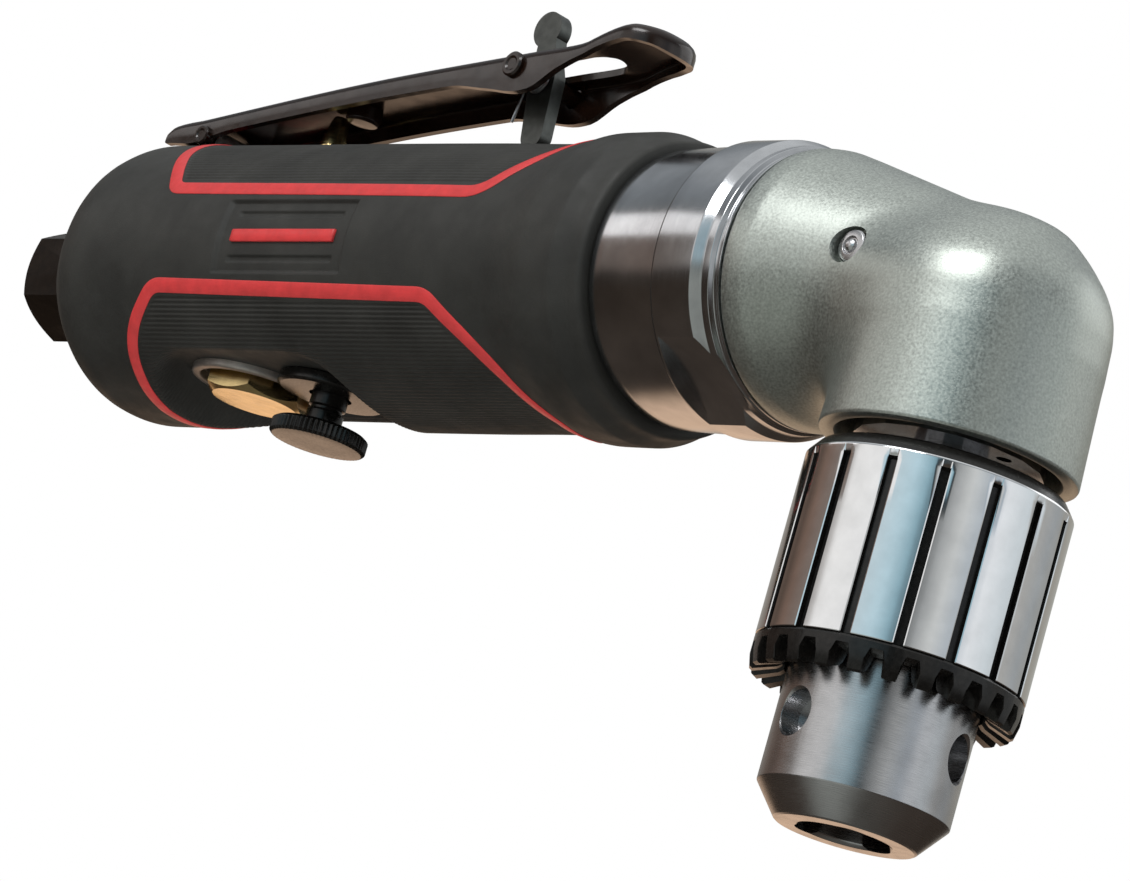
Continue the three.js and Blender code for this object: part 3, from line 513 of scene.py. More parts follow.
def grip_surface():
    """Points of the rubber grip: rows along x, columns round it."""
    xs = np.concatenate([[10.6, 10.8, 11.1, 11.6, 12.3], np.arange(13, 26, 0.6), np.arange(26, 134, 0.36),
                         np.arange(134, 138.3, 0.3), [138.3]])
    columns = RIBS * COLUMNS_PER_RIB
    angle = np.linspace(0, 2 * np.pi, columns, endpoint=False)
    x, a = np.meshgrid(xs, angle, indexing="ij")
    r = GRIP_R(x)
    turn = np.arcsin(np.clip(np.sin(a), -1, 1))

    # the two panels, ribbed inside their stripes
    flat = np.stack([x.ravel(), ((np.pi / 2 - np.abs(turn)) * WRAP).ravel()], axis=1)
    top, bottom = (-signed_distance(flat, loop).reshape(x.shape) for loop in (TOP_LOOP, BOTTOM_LOOP))
    ribbed = smoothstep(STRIPE_HALF + 0.25, STRIPE_HALF + 0.7, np.where(np.sin(a) > 0, top, bottom))
    r = r - ribbed * (PANEL_SINK + RIB_DEPTH * (0.5 - 0.5 * np.cos(a * RIBS)))

    # the badge recess on both sides
    height = turn * WRAP
    along = np.abs(x - BADGE_X)
    edge = np.maximum(along - BADGE_HALF_LENGTH, np.abs(height) - BADGE_HALF_HEIGHT)
    r = r - BADGE_DEPTH * smoothstep(0.45, -0.05, edge)
    for groove in (-GROOVE_HEIGHT, GROOVE_HEIGHT):
        line = np.maximum(np.abs(height - groove) - GROOVE_HALF, along - BAR_HALF_LENGTH)
        r = r - GROOVE_DEPTH * smoothstep(0.25, -0.1, line)

    # the flattened pocket underneath, and the port in it
    y, z = -r * np.cos(a), r * np.sin(a)
    below = z < 0
    past = x - np.clip(x, VALVE_X, REGULATOR_X)
    d = np.hypot(past * np.where(past < 0, POCKET_REAR, POCKET_FRONT), y * np.where(y > 0, POCKET_SIDE, 1.0))
    pocket = smoothstep(np.where(past > 0, POCKET_R + 9, POCKET_R + 4.6), POCKET_R - 0.3, d)
    z = np.where(below & (z < POCKET_FLOOR), z * (1 - pocket) + POCKET_FLOOR * pocket, z)
    port = smoothstep(PORT_R + 0.15, PORT_R - 0.15, np.hypot(x - VALVE_X, y))
    z = np.where(below & (z < -14.0), z * (1 - port) + PORT_FLOOR * port, z)

    windows = [  # openings in the top for the lever's ears, the valve stem and the latch
        np.maximum(np.abs(x - LEVER_PIVOT[0]) - 4.2, np.abs(y) - 5.7),
        np.hypot(x - VALVE_X, y) - 5.0,
        np.hypot(x - np.clip(x, 84, 101.5), y) - 3.0,
    ]
    for window in windows:
        inside = smoothstep(0.3, -0.15, window)
        lip = 0.25 * smoothstep(1.1, 0.1, window)
        z = np.where(below, z, (z - lip) * (1 - inside) + np.minimum(z, WINDOW_FLOOR) * inside)
    return x, y, z, columns


def build_grip():
    x, y, z, columns = grip_surface()
    rows = [np.stack([x[i], y[i], z[i]], axis=1) for i in range(x.shape[0])]
    angle = np.linspace(0, 2 * np.pi, columns, endpoint=False)

    def hoop(at, radius):
        return np.stack([np.full(columns, at), -radius * np.cos(angle), radius * np.sin(angle)], axis=1)

    inner_wall = [(138.35, 19.35), (138.2, 14.0), (25.0, 14.0), (12.5, 8.4), (10.7, 8.5), (10.5, 8.9)]
    rows += [hoop(at, radius) for at, radius in inner_wall]
    verts = np.concatenate(rows)
    base = np.arange(columns)
    ahead = (base + 1) % columns
    faces = []
    for i in range(len(rows)):
        here, there = i * columns, (i + 1) % len(rows) * columns
        faces.append(np.stack([here + base, here + ahead, there + ahead, there + base], axis=1))
    faces = np.concatenate(faces)
    mesh = bpy.data.meshes.new("rubber_grip")
    mesh.vertices.add(len(verts))
    mesh.vertices.foreach_set("co", (verts * MM + np.array(ORIGIN)).astype(np.float32).ravel())
    mesh.loops.add(faces.size)
    mesh.loops.foreach_set("vertex_index", faces.ravel().astype(np.int32))
    mesh.polygons.add(len(faces))
    mesh.polygons.foreach_set("loop_start", np.arange(0, faces.size, 4, dtype=np.int32))
    mesh.update(calc_edges=True)
    mesh.validate()
    obj = linked("rubber_grip", mesh)
    with edited(mesh):
        pass
    mesh.shade_smooth()
    mesh.set_sharp_from_angle(angle=math.radians(70))
    dress(obj, "grip_rubber")
    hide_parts("grip_sleeve")
    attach(obj, "root")


STRIPE_STEP = 0.6
STRIPE_SECTION = [  # (share of the half width, height above the rubber)
    (-1.0, -0.35), (-1.0, 0.06), (-0.88, 0.14), (0, 0.17), (0.88, 0.14), (1.0, 0.06), (1.0, -0.35),
]
BAR_SECTION = [(-1, -0.8), (-1, -0.22), (-0.8, -0.08), (0.8, -0.08), (1, -0.22), (1, -0.8)]
BAR_STEPS = 40


def build_stripe(name, loop, side):
    """A raised red stripe along a closed panel outline. side is 1 on top and -1 underneath."""
    loop = np.array(loop)
    closed = np.vstack([loop, loop[:1]])
    lengths = np.concatenate([[0], np.cumsum(np.hypot(*np.diff(closed, axis=0).T))])
    count = int(lengths[-1] / STRIPE_STEP)
    at = np.linspace(0, lengths[-1], count, endpoint=False)
    path = np.stack([np.interp(at, lengths, closed[:, i]) for i in (0, 1)], axis=1)
    tangent = np.roll(path, -1, axis=0) - np.roll(path, 1, axis=0)
    tangent /= np.linalg.norm(tangent, axis=1)[:, None]
    normal = np.stack([-tangent[:, 1], tangent[:, 0]], axis=1)
    rows = []
    for across, lift in STRIPE_SECTION:
        p = path + normal * across * STRIPE_HALF
        r = GRIP_R(p[:, 0]) + lift
        turn = p[:, 1] / WRAP
        rows.append([(px, -pr * math.sin(t), side * pr * math.cos(t)) for px, pr, t in zip(p[:, 0], r, turn)])
    obj = grid(name, rows + rows[:1], around=True, sharp=50)
    dress(obj, "stripe_red")
    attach(obj, "root")


def build_badge_bar(name, side):
    """A plain raised bar in the side recess. side is 1 on the near side and -1 on the far side."""
    rows = []
    for i in range(BAR_STEPS + 1):
        x = BADGE_X - BAR_HALF_LENGTH + 2 * BAR_HALF_LENGTH * i / BAR_STEPS
        row = []
        for across, lift in BAR_SECTION:
            turn = across * BAR_HALF_HEIGHT / WRAP
            r = float(GRIP_R(x)) + lift
            row.append((x, -side * r * math.cos(turn), r * math.sin(turn)))
        rows.append(row)
    obj = grid(name, rows, around=True, sharp=40)
    with edited(obj.data) as bm:
        bmesh.ops.holes_fill(bm, edges=[e for e in bm.edges if e.is_boundary])
    dress(obj, "stripe_red")
    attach(obj, "root")


build_grip()
build_stripe("stripe_top", TOP_LOOP, 1)
build_stripe("stripe_bottom", BOTTOM_LOOP, -1)
build_badge_bar("badge_bar_near", 1)
build_badge_bar("badge_bar_far", -1)


# ---------------------------------------------------------------- inlet

THREAD_TURNS, THREAD_PITCH = 9, 1.4


def build_inlet():
    corner = 8 / math.cos(math.pi / 6)
    hexagon = prism("inlet_hex", "yz", polygon(6, corner, start=math.radians(90)), 0, 10)
    chamfer = [(AXIS, -0.01), (7.7, -0.01), (corner + 0.3, 1.6), (corner + 0.3, 20), (AXIS, 20)]
    combined(hexagon, lathe("cone", "x", chamfer), "INTERSECT")
    shank = [(AXIS, 9.6), (8.1, 9.6), (8.1, 10.4), (6.5, 10.6), (6.5, 19.7), (AXIS, 19.7)]
    combined(hexagon, lathe("shank", "x", shank, 64), "UNION")
    bore = [(AXIS, -1), (6.3, -1), (6.3, 0.1)]
    for k in range(THREAD_TURNS):
        at = 0.9 + k * THREAD_PITCH
        bore += [(5.95, at), (5.35, at + THREAD_PITCH / 2)]
    bore += [(5.3, 13.5), (4, 13.6), (4, 21), (AXIS, 21)]
    combined(hexagon, lathe("bore", "x", bore, 64))
    bevelled(hexagon, 0.22, 2, 28)
    finish_mesh(hexagon, 32)
    dress(hexagon, "inlet_bronze")
    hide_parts("inlet_bushing")
    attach(hexagon, "root")


build_inlet()


# ---------------------------------------------------------------- collar

COLLAR = rounded([
    (17.35, 138.6), (18.8, 138.6), (19.1, 138.9), (19.25, 141), (19.55, 151.3), (20.05, 151.75),
    (20.2, 152.1), (20.2, 159.2), (19.45, 160.3), (19.3, 160.6), (19.3, 161.8), (18.6, 162.1),
    (18.55, 162.7), (18.9, 163.0), (18.9, 163.35), (17.35, 163.35),
], [0, 0.2, 0.3, 3, 0.25, 0.2, 0.3, 0.5, 0.3, 0.3, 0.2, 0.2, 0.2, 0.15, 0.15, 0], steps=3)
FLAT_OUT = 18.7  # how far the two spanner flats lie from the axis
FLAT_ANGLES = (241, 61)


def build_collar():
    obj = lathe("collar_body", "x", COLLAR, 192, sharp=22)
    for angle in FLAT_ANGLES:
        slab = prism("slab", "xy", [(152.4, -13), (166, -13), (166, 13), (152.4, 13)], FLAT_OUT, 26)
        combined(obj, moved(slab, Matrix.Rotation(math.radians(angle - 90), 4, "X")))
    finish_mesh(obj, 22)
    dress(obj, "dark_steel")
    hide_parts("clamp_collar")
    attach(obj, "root")


build_collar()


# ---------------------------------------------------------------- angle head

def both_sides(profile):
    """A closed outline through both sides of the axis, from (radius, position) points on one side."""
    return np.array([tuple(p) for p in profile] + [(-r, h) for r, h in reversed(profile) if r > 0])


CONE = [  # (radius, x)
    (0, 158), (18.85, 158), (18.85, 163.6), (19.0, 164.8), (18.75, 167), (17.7, 170.6), (14.2, 182),
    (10.3, 194.7), (7.8, 203), (0, 204.5),
]
BARREL = [  # (radius, z) about the chuck's axis
    (0, -30), (17.25, -30), (17.25, -22.4), (16.95, -14), (16.75, -8), (16.2, -3), (15.2, 0.2),
    (13.5, 2.9), (11.2, 5.2), (8.3, 7.1), (5.2, 8.5), (2.6, 9.2), (0, 9.4),
]
CONE_OUTLINE = both_sides(rounded(CONE, [0, 0, 2, 3, 5, 12, 40, 20, 2, 0], steps=5))
BARREL_OUTLINE = both_sides(rounded(BARREL, [0, 0, 20, 20, 14, 12, 12, 10, 10, 10, 10, 10, 0], steps=5))
BLEND_LOW, BLEND_TOP = 9.0, 5.0  # width of the fillet between cone and barrel, below and on top
VOXEL = 0.62
SURFACE_STEPS = 7
SEAM_X, HEAD_BOTTOM = 163.85, -22.5
GREASE_X, GREASE_Z = 181.6, 0.9


def head_field(p):
    """Distance of points from the head's surface: a cone and a barrel with a fillet between them."""
    cone_at = np.stack([np.hypot(p[:, 1], p[:, 2]), p[:, 0]], axis=1)
    barrel_at = np.stack([np.hypot(p[:, 0] - CHUCK_X, p[:, 1]), p[:, 2]], axis=1)
    a = signed_distance(cone_at, CONE_OUTLINE)
    b = signed_distance(barrel_at, BARREL_OUTLINE)
    blend = BLEND_LOW + (BLEND_TOP - BLEND_LOW) * smoothstep(-1, 8, p[:, 2])
    h = np.clip(0.5 + 0.5 * (b - a) / blend, 0, 1)
    return b * (1 - h) + a * h - blend * h * (1 - h)


def on_surface(p):
    """Points moved on to the head's surface."""
    step = 0.02
    for _ in range(SURFACE_STEPS):
        value = head_field(p)
        slope = np.stack([(head_field(p + step * axis) - value) / step for axis in np.eye(3)], axis=1)
        size = np.maximum((slope**2).sum(axis=1), 0.05)
        p = p - np.clip(value / size, -1.2, 1.2)[:, None] * slope
    return p


def inner_rim(bm, axis, at, middle, steps):
    """Carries the open edge at one place along an axis inwards, and closes it.

    The steps are (distance, place): a distance of up to 3 is how far in from the last ring, a larger one the
    ring's radius.
    """
    plane = ORIGIN[axis] + at * MM
    edges = [e for e in bm.edges if e.is_boundary and all(abs(v.co[axis] - plane) < 1e-6 for v in e.verts)]
    for distance, place in steps:
        ring = bmesh.ops.extrude_edge_only(bm, edges=edges)["geom"]
        edges = [g for g in ring if isinstance(g, bmesh.types.BMEdge)]
        for v in [g for g in ring if isinstance(g, bmesh.types.BMVert)]:
            out = v.co - middle
            out[axis] = 0
            inward = out.normalized() * distance * MM
            v.co = middle + (inward if distance > 3 else out - inward)
            v.co[axis] = ORIGIN[axis] + place * MM
    bmesh.ops.holes_fill(bm, edges=edges)


def build_head():
    head = lathe("angle_head", "x", [(max(r, AXIS), h) for r, h in CONE], 64)
    barrel = lathe("barrel", "z", [(max(r, AXIS), h) for r, h in BARREL], 64, (CHUCK_X, 0, 0))
    combined(head, barrel, "UNION")
    modified(head, "REMESH", mode="VOXEL", voxel_size=VOXEL * MM)
    mesh = head.data
    co = np.zeros(len(mesh.vertices) * 3)
    mesh.vertices.foreach_get("co", co)
    p = on_surface((co.reshape(-1, 3) - np.array(ORIGIN)) / MM)
    mesh.vertices.foreach_set("co", (p * MM + np.array(ORIGIN)).ravel())
    mesh.update()

    with edited(mesh) as bm:
        for point, direction in (((SEAM_X, 0, 0), (-1, 0, 0)), ((0, 0, HEAD_BOTTOM), (0, 0, -1))):
            geometry = bm.verts[:] + bm.edges[:] + bm.faces[:]
            bmesh.ops.bisect_plane(bm, geom=geometry, plane_co=placed(point), plane_no=direction,
                                   clear_outer=True, dist=1e-7)
        inner_rim(bm, 0, SEAM_X, Vector((0, 0, ORIGIN.z)),
                  [(0.12, 163.72), (0.35, 163.62), (17.0, 163.6), (17.0, 150.5), (13.2, 150.4),
                   (13.2, 170.5)])
        inner_rim(bm, 2, HEAD_BOTTOM, Vector((ORIGIN.x + CHUCK_X * MM, 0, 0)),
                  [(0.12, -22.78), (0.4, -22.95), (0.75, -23.0), (15.2, -22.85), (14.9, -22.5),
                   (14.7, -18.5), (13.0, -18.3), (13.0, -10.9)])

    grease_point = (GREASE_X, 0, GREASE_Z)
    pocket = [(AXIS, -22), (2.75, -22), (2.75, -12.9), (1.7, -12.9), (1.7, -9), (AXIS, -9)]
    combined(head, lathe("pocket", "y", pocket, 48, grease_point))
    finish_mesh(head, 38)
    dress(head, "head_metal")
    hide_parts("head_housing")
    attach(head, "root")

    outline = rounded(
        [(AXIS, -9), (1.5, -9), (1.5, -12.6), (2.35, -12.8), (2.35, -13.9), (2.1, -14.25), (1.25, -14.4),
         (1.15, -14.1), (0.95, -14.1), (0.85, -14.5), (0.45, -14.75), (AXIS, -14.8)],
        [0, 0, 0.1, 0.2, 0.25, 0.15, 0.1, 0.05, 0.05, 0.15, 0.2, 0], steps=3)
    nipple = lathe("grease_nipple", "y", outline, 48, grease_point, closed=False)
    dress(nipple, "machined_steel")
    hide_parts("grease_fitting")
    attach(nipple, "root")


build_head()


# ---------------------------------------------------------------- throttle lever and latch

LEVER_TIP = 123.2
LEVER_TOP = curve([  # (x, z of the top)
    (22.6, 23.1), (23.6, 23.9), (30, 24.9), (68.7, 30.6), (100, 34.1), (109.9, 35.2), (113, 36.4),
    (116, 37.4), (119, 38.0), (121.5, 38.0), (LEVER_TIP, 37.7),
])
LEVER_DROP = curve([  # (x, depth of the sides)
    (22.6, 2.2), (23.2, 3.0), (29.8, 4.1), (33, 3.7), (37, 3.35), (55.7, 3.5), (78.3, 3.7), (84, 3.75),
    (92, 5.1), (99.2, 6.4), (101, 6.3), (106, 3.7), (109.6, 2.6), (112, 2.4), (119, 2.7), (LEVER_TIP, 2.9),
])
TIP_X = LEVER_TIP - LEVER_HALF  # middle of the round tip
TIP_STEPS = 24
BEND = 1.5  # radius between the lever's top and its sides


def lever_row(x, nx, ny):
    """Points across the lever, from one lower edge to the other, at x in the direction (nx, ny)."""
    def at(inset, drop):
        out = LEVER_HALF - inset
        px, py = x + nx * out, ny * out
        return px, py, float(LEVER_TOP(px)) - drop

    low = float(LEVER_DROP(x + nx * LEVER_HALF))
    half = [at(0.0, low), at(0.0, low * 0.6 + BEND * 0.4), at(0.0, BEND)]
    half += [at(BEND * (1 - math.cos(t)), BEND * (1 - math.sin(t))) for t in (0.4, 0.8, 1.2, math.pi / 2)]
    px, py, top = at(BEND, 0)
    half += [(px, py * share, top) for share in (0.66, 0.33, 0.0)]
    return half + [(qx, -qy, qz) for qx, qy, qz in reversed(half[:-1])]


def build_lever():
    straight = np.concatenate([[22.6, 22.9, 23.3, 24], np.arange(25.5, TIP_X, 1.2)])
    rows = [lever_row(float(x), 0.0, 1.0) for x in straight]
    for k in range(TIP_STEPS + 1):
        a = math.pi / 2 * (1 - k / TIP_STEPS)
        rows.append(lever_row(TIP_X, math.cos(a), math.sin(a)))
    lever = grid("lever_sheet", rows, sharp=50)
    modified(lever, "SOLIDIFY", thickness=1.05 * MM, offset=-1, use_even_offset=True)
    combined(lever, prism("slot", "xy", stadium((93.2, 0), (108.6, 0), 3.0), 10, 60))
    for pivot, radius in ((LEVER_PIVOT, 1.3), (LATCH_PIVOT, 1.6)):
        combined(lever, pin_hole(pivot, radius, 12))
    button = rounded([(AXIS, 26.0), (2.3, 26.0), (2.6, 26.4), (2.6, 28.6), (AXIS, 28.6)], 0.3)
    combined(lever, lathe("boss", "z", button, 40, (VALVE_X + 5, 0, 0)), "UNION")
    bevelled(lever, 0.2, 2, 42)
    finish_mesh(lever, 40)
    dress(lever, "lever_black")
    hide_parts("throttle_lever")
    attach(lever, "lever")


def pin_hole(pivot, radius, reach):
    profile = [(AXIS, -reach), (radius, -reach), (radius, reach), (AXIS, reach)]
    return lathe("hole", "y", profile, 32, (pivot[0], 0, pivot[1]))


def build_pin(name, node, pivot, shank, head, body, look):
    """A pin with a riveted head at each end, from the radii of its shank and its heads."""
    inner, outer = LEVER_HALF + 0.02, LEVER_HALF + 0.78
    half = [(AXIS, -outer + 0.18), (head * 0.45, -outer + 0.18), (head * 0.62, -outer),
            (head * 0.85, -outer), (head, -outer + 0.25), (head, -inner), (shank, -inner)]
    profile = half + [(r, -h) for r, h in reversed(half)]
    pin = lathe(name, "y", profile, 48, (pivot[0], 0, pivot[1]), closed=False, sharp=25)
    dress(pin, look)
    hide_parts(node)
    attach(pin, body)


def tapered(a, radius_a, b, radius_b, steps=24):
    """Outline round two circles."""
    angle = math.atan2(b[1] - a[1], b[0] - a[0])
    gap = math.hypot(b[0] - a[0], b[1] - a[1])
    lean = math.acos(max(-1, min(1, (radius_a - radius_b) / gap)))
    out = []
    for centre, radius, first, last in ((a, radius_a, lean, 2 * math.pi - lean), (b, radius_b, -lean, lean)):
        for k in range(steps + 1):
            t = angle + first + (last - first) * k / steps
            out.append((centre[0] + radius * math.cos(t), centre[1] + radius * math.sin(t)))
    return out


def build_latch():
    px, pz = LATCH_PIVOT
    outlines = [  # the round knob, the neck in two lengths, and the foot
        tapered((px - 2, pz + 8.05), 2.72, (px - 1.9, pz + 7.9), 2.72),
        tapered((px - 1.5, pz + 7.5), 1.7, (px - 0.5, pz + 2), 2.15),
        tapered((px - 0.4, pz + 1.5), 2.3, (px, pz), 2.6),
        tapered((px, pz), 2.6, (px + 1.2, pz - 8.4), 2.1),
    ]
    latch = prism("lock_latch", "xz", outlines[0], -1.1, 1.1)
    for outline in outlines[1:]:
        combined(latch, prism("plate", "xz", outline, -1.1, 1.1), "UNION")
    combined(latch, pin_hole(LATCH_PIVOT, 1.6, 5))
    bevelled(latch, 0.28, 3, 40)
    finish_mesh(latch, 35)
    dress(latch, "latch_steel")
    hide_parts("lockoff_latch")
    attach(latch, "latch")


def build_latch_spring():
    """The coil round the latch pin, with one leg down beside the latch and one under the lever's top."""
    px, pz = LATCH_PIVOT
    coil, turns, steps = 2.05, 2.54, 48
    points = [(px - 3.3, -1.5, pz - 6.6), (px - 2.9, -1.5, pz - 4.4)]
    for k in range(steps + 1):
        a = math.pi + 2 * math.pi * turns * k / steps
        points.append((px + coil * math.cos(a), -1.55 - 1.0 * k / steps, pz + coil * math.sin(a)))
    points += [(px + 4.5, -2.55, pz + 1.7), (px + 7.6, -2.55, pz + 3.7), (px + 8.1, -2.65, pz + 3.9)]
    data = bpy.data.curves.new("latch_spring_wire", "CURVE")
    data.dimensions = "3D"
    data.bevel_depth = 0.24 * MM
    data.bevel_resolution = 3
    data.use_fill_caps = True
    spline = data.splines.new("POLY")
    spline.points.add(len(points) - 1)
    for point, place in zip(spline.points, points):
        point.co = (*placed(place), 1)
    wire = linked("latch_spring_curve", data)
    mesh = baked(wire)
    bpy.data.objects.remove(wire)
    obj = linked("latch_spring_wire", mesh)
    finish_mesh(obj, 60)
    dress(obj, "spring_steel")
    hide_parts("latch_spring")
    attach(obj, "lever")


build_lever()
build_pin("lever_pin_head", "lever_pin", LEVER_PIVOT, 1.0, 1.5, "root", "lever_black")
build_pin("latch_pin_head", "latch_pin", LATCH_PIVOT, 1.3, 1.9, "lever", "lever_black")
build_latch()
build_latch_spring()


# ---------------------------------------------------------------- valve and regulator

PLUG_TURN = math.radians(8.4)
KNURLS, KNURL_STEPS, KNURL_DEPTH = 60, 8, 0.26


def build_valve():
    centre = (VALVE_X, 0, 0)
    outline = rounded(
        [(AXIS, 5.9), (1.9, 5.9), (1.9, 20.8), (2.1, 21.2), (2.1, 22), (1.3, 26.2), (1.0, 27), (AXIS, 27)],
        [0, 0, 0.1, 0.2, 0.4, 0.5, 0.3, 0], steps=3)
    stem = lathe("valve_stem_turned", "z", outline, 48, centre, closed=False)
    dress(stem, "brass")
    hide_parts("valve_stem")
    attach(stem, "valve")

    rim = rounded([(8.95, -13.6), (8.95, -16.3), (10.35, -16.3), (10.35, -13.6)], [0, 0.35, 0.5, 0])
    port = lathe("valve_port_rim", "z", rim, 96, centre)
    room = [(AXIS, -20), (8.6, -20), (8.6, -10), (AXIS, -10)]
    combined(port, lathe("cut", "z", room, 64, (REGULATOR_X, 0, 0)))
    finish_mesh(port, 30)
    dress(port, "housing_metal")
    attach(port, "root")

    corner = 6.9 / math.cos(math.pi / 6)
    plug = prism("valve_plug_hex", "xy", polygon(6, corner, (VALVE_X, 0), PLUG_TURN), -18.4, -12.6)
    chamfer = [(AXIS, -18.41), (6.5, -18.41), (corner + 0.2, -17.3), (corner + 0.2, -8), (AXIS, -8)]
    combined(plug, lathe("cone", "z", chamfer, 96, centre), "INTERSECT")
    shank = [(AXIS, -13), (5, -13), (5, -8.2), (AXIS, -8.2)]
    combined(plug, lathe("shank", "z", shank, 48, centre), "UNION")
    bevelled(plug, 0.16, 2, 28)
    finish_mesh(plug, 30)
    dress(plug, "brass")
    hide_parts("valve_plug")
    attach(plug, "root")


def build_regulator():
    centre = (REGULATOR_X, 0, 0)
    outline = rounded([(3.2, -15.25), (8.1, -15.25), (8.1, -16.7), (7.6, -17.0), (3.2, -17.0)],
                      [0, 0.15, 0.2, 0.25, 0], steps=3)
    flange = lathe("regulator_washer", "z", outline, 72, centre)
    dress(flange, "black_oxide")
    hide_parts("regulator_flange")
    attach(flange, "root")

    outline = rounded(
        [(AXIS, 13.2), (2.75, 13.2), (2.75, -18.7), (2.35, -18.9), (2.35, -19.35), (2.75, -19.55),
         (2.75, -21.3), (1.7, -21.6), (1.7, -23.2), (AXIS, -23.2)],
        [0, 0, 0.12, 0.1, 0.1, 0.12, 0.12, 0, 0, 0], steps=3)
    spindle = lathe("regulator_stem", "z", outline, 48, centre, closed=False)
    dress(spindle, "black_oxide")
    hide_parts("regulator_spindle")
    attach(spindle, "regulator")

    profile = rounded(
        [(2.0, -21.8), (6.6, -21.8), (7.2, -22.2), (7.2, -23.9), (6.8, -24.3), (4, -24.3), (AXIS, -24.26)],
        [0, 0.2, 0.2, 0.2, 0.25, 0, 0], steps=3)
    rows = []
    for k in range(KNURLS * KNURL_STEPS):
        a = 2 * math.pi * k / (KNURLS * KNURL_STEPS)
        cut = KNURL_DEPTH * (0.5 + 0.5 * math.cos(a * KNURLS)) ** 0.7
        row = []
        for r, h in profile:
            radius = r - cut * float(smoothstep(6.5, 7.1, r))
            row.append((REGULATOR_X + radius * math.cos(a), radius * math.sin(a), h))
        rows.append(row)
    knob = grid("regulator_dial", rows + rows[:1], sharp=40)
    dress(knob, "black_oxide")
    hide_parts("regulator_knob")
    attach(knob, "regulator")


build_valve()
build_regulator()


# ---------------------------------------------------------------- chuck

TURN = 2 * math.pi
JAWS = 3
JAW_PHASE = math.radians(-40)
JAW_LEAN = math.radians(15)
KEY_HOLE_Z = -61.0
GROOVES = 16
GROOVE_PITCH = TURN / GROOVES
GROOVE_WIDE, GROOVE_EDGE = math.radians(2.1), math.radians(0.45)  # half a groove's width, half a side's
GROOVE_SINK, GROOVE_START, GROOVE_FULL = 0.75, -27.9, -28.5  # depth, z where it begins, z of full depth
SLEEVE_R = 17.7
SLEEVE_TOP = rounded([(14, -24.95), (15.7, -25.0), (16.35, -25.3), (SLEEVE_R, -27.1), (SLEEVE_R, -51.45)],
                     [0, 0.4, 0.5, 0.5, 0])[:-1]
SLEEVE_BOTTOM = rounded([(SLEEVE_R, -27.1), (SLEEVE_R, -51.45), (17.4, -51.6), (13.1, -51.6)],
                        [0, 0.15, 0, 0])[1:]
SLEEVE_LINES = [(SLEEVE_R, h) for h in (-28.1, -28.5, -35, -42, -51.0)]


def build_sleeve():
    """The fluted outer sleeve: its grooves are sunk strips with steep sides."""
    half, edge = GROOVE_WIDE, GROOVE_EDGE
    across = [(-half - edge, 0.0), (-half, 0.12), (-half + edge, 1.0), (0, 1.0), (half - edge, 1.0),
              (half, 0.12), (half + edge, 0.0)]
    free = GROOVE_PITCH - 2 * (half + edge)
    across += [(half + edge + free * i / 9, 0.0) for i in range(1, 9)]
    rows = []
    for k in range(GROOVES):
        for offset, sunk in across:
            a = k * GROOVE_PITCH + offset
            row = []
            for r, h in SLEEVE_TOP + SLEEVE_LINES + SLEEVE_BOTTOM:
                deep = float(smoothstep(GROOVE_START, GROOVE_FULL, h)) if r > 17 else 0.0
                radius = r - GROOVE_SINK * sunk * deep
                row.append((CHUCK_X + radius * math.cos(a), radius * math.sin(a), h))
            rows.append(row)
    sleeve = grid("chuck_sleeve_fluted", rows + rows[:1], sharp=25)
    dress(sleeve, "chuck_chrome")
    sleeve.data.materials.append(LOOKS["black_oxide"].material)
    middle = placed((CHUCK_X, 0, 0))
    for face in sleeve.data.polygons:
        c = (face.center - middle) / MM
        off = (math.atan2(c.y, c.x) + GROOVE_PITCH / 2) % GROOVE_PITCH - GROOVE_PITCH / 2
        in_groove = abs(off) < half and math.hypot(c.x, c.y) < 17.58 and -51.5 < c.z < -28.2
        if in_groove or c.z > -26.95 or c.z < -51.5:
            face.material_index = 1
    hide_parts("chuck_sleeve")
    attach(sleeve, "sleeve")


TOOTH = [(13.05, -51.6), (17.5, -51.6), (17.68, -51.9), (17.68, -54.1), (17.3, -55.75), (16.9, -56.0),
         (13.9, -54.9), (13.3, -54.4)]
SPACE = [(13.05, -51.6), (17.5, -51.6), (17.68, -51.9), (17.66, -52.7), (16.7, -53.0), (15.9, -53.0),
         (13.75, -52.9), (13.3, -52.9)]
GEAR_TEETH = 24
TOOTH_PITCH = TURN / GEAR_TEETH
TOOTH_SHAPE = [  # (share of the pitch from a tooth's middle, 0 in the space to 1 on the tooth)
    (-0.5, 0), (-0.33, 0), (-0.31, 0.05), (-0.225, 0.9), (-0.2, 1), (0, 1), (0.2, 1), (0.225, 0.9),
    (0.31, 0.05), (0.33, 0),
]


def build_gear_ring():
    """The bevel teeth that the chuck key turns."""
    rows = []
    for k in range(GEAR_TEETH):
        for share, kind in TOOTH_SHAPE:
            t = (k + share) * TOOTH_PITCH
            row = []
            for (r0, h0), (r1, h1) in zip(SPACE, TOOTH):
                r, h = r0 + (r1 - r0) * kind, h0 + (h1 - h0) * kind
                row.append((CHUCK_X + r * math.cos(t), r * math.sin(t), h))
            rows.append(row)
    ring = grid("chuck_key_teeth", rows + rows[:1], around=True, sharp=25)
    dress(ring, "black_oxide")
    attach(ring, "sleeve")


NOSE = [(AXIS, -25.6), (12.9, -25.6), (13.6, -26.6), (13.6, -46.2), (13.2, -46.2), (11.9, -51.2),
        (12.55, -51.3), (12.6, -52), (12.6, -69.3), (9.4, -73.3), (9.1, -73.5), (6.3, -73.5), (5.8, -73.0),
        (5.8, -46), (AXIS, -46)]
NOSE_RADII = [0, 0, 0, 0, 0, 0, 0.05, 0.1, 0.35, 0.25, 0.2, 0.25, 0.3, 0, 0]


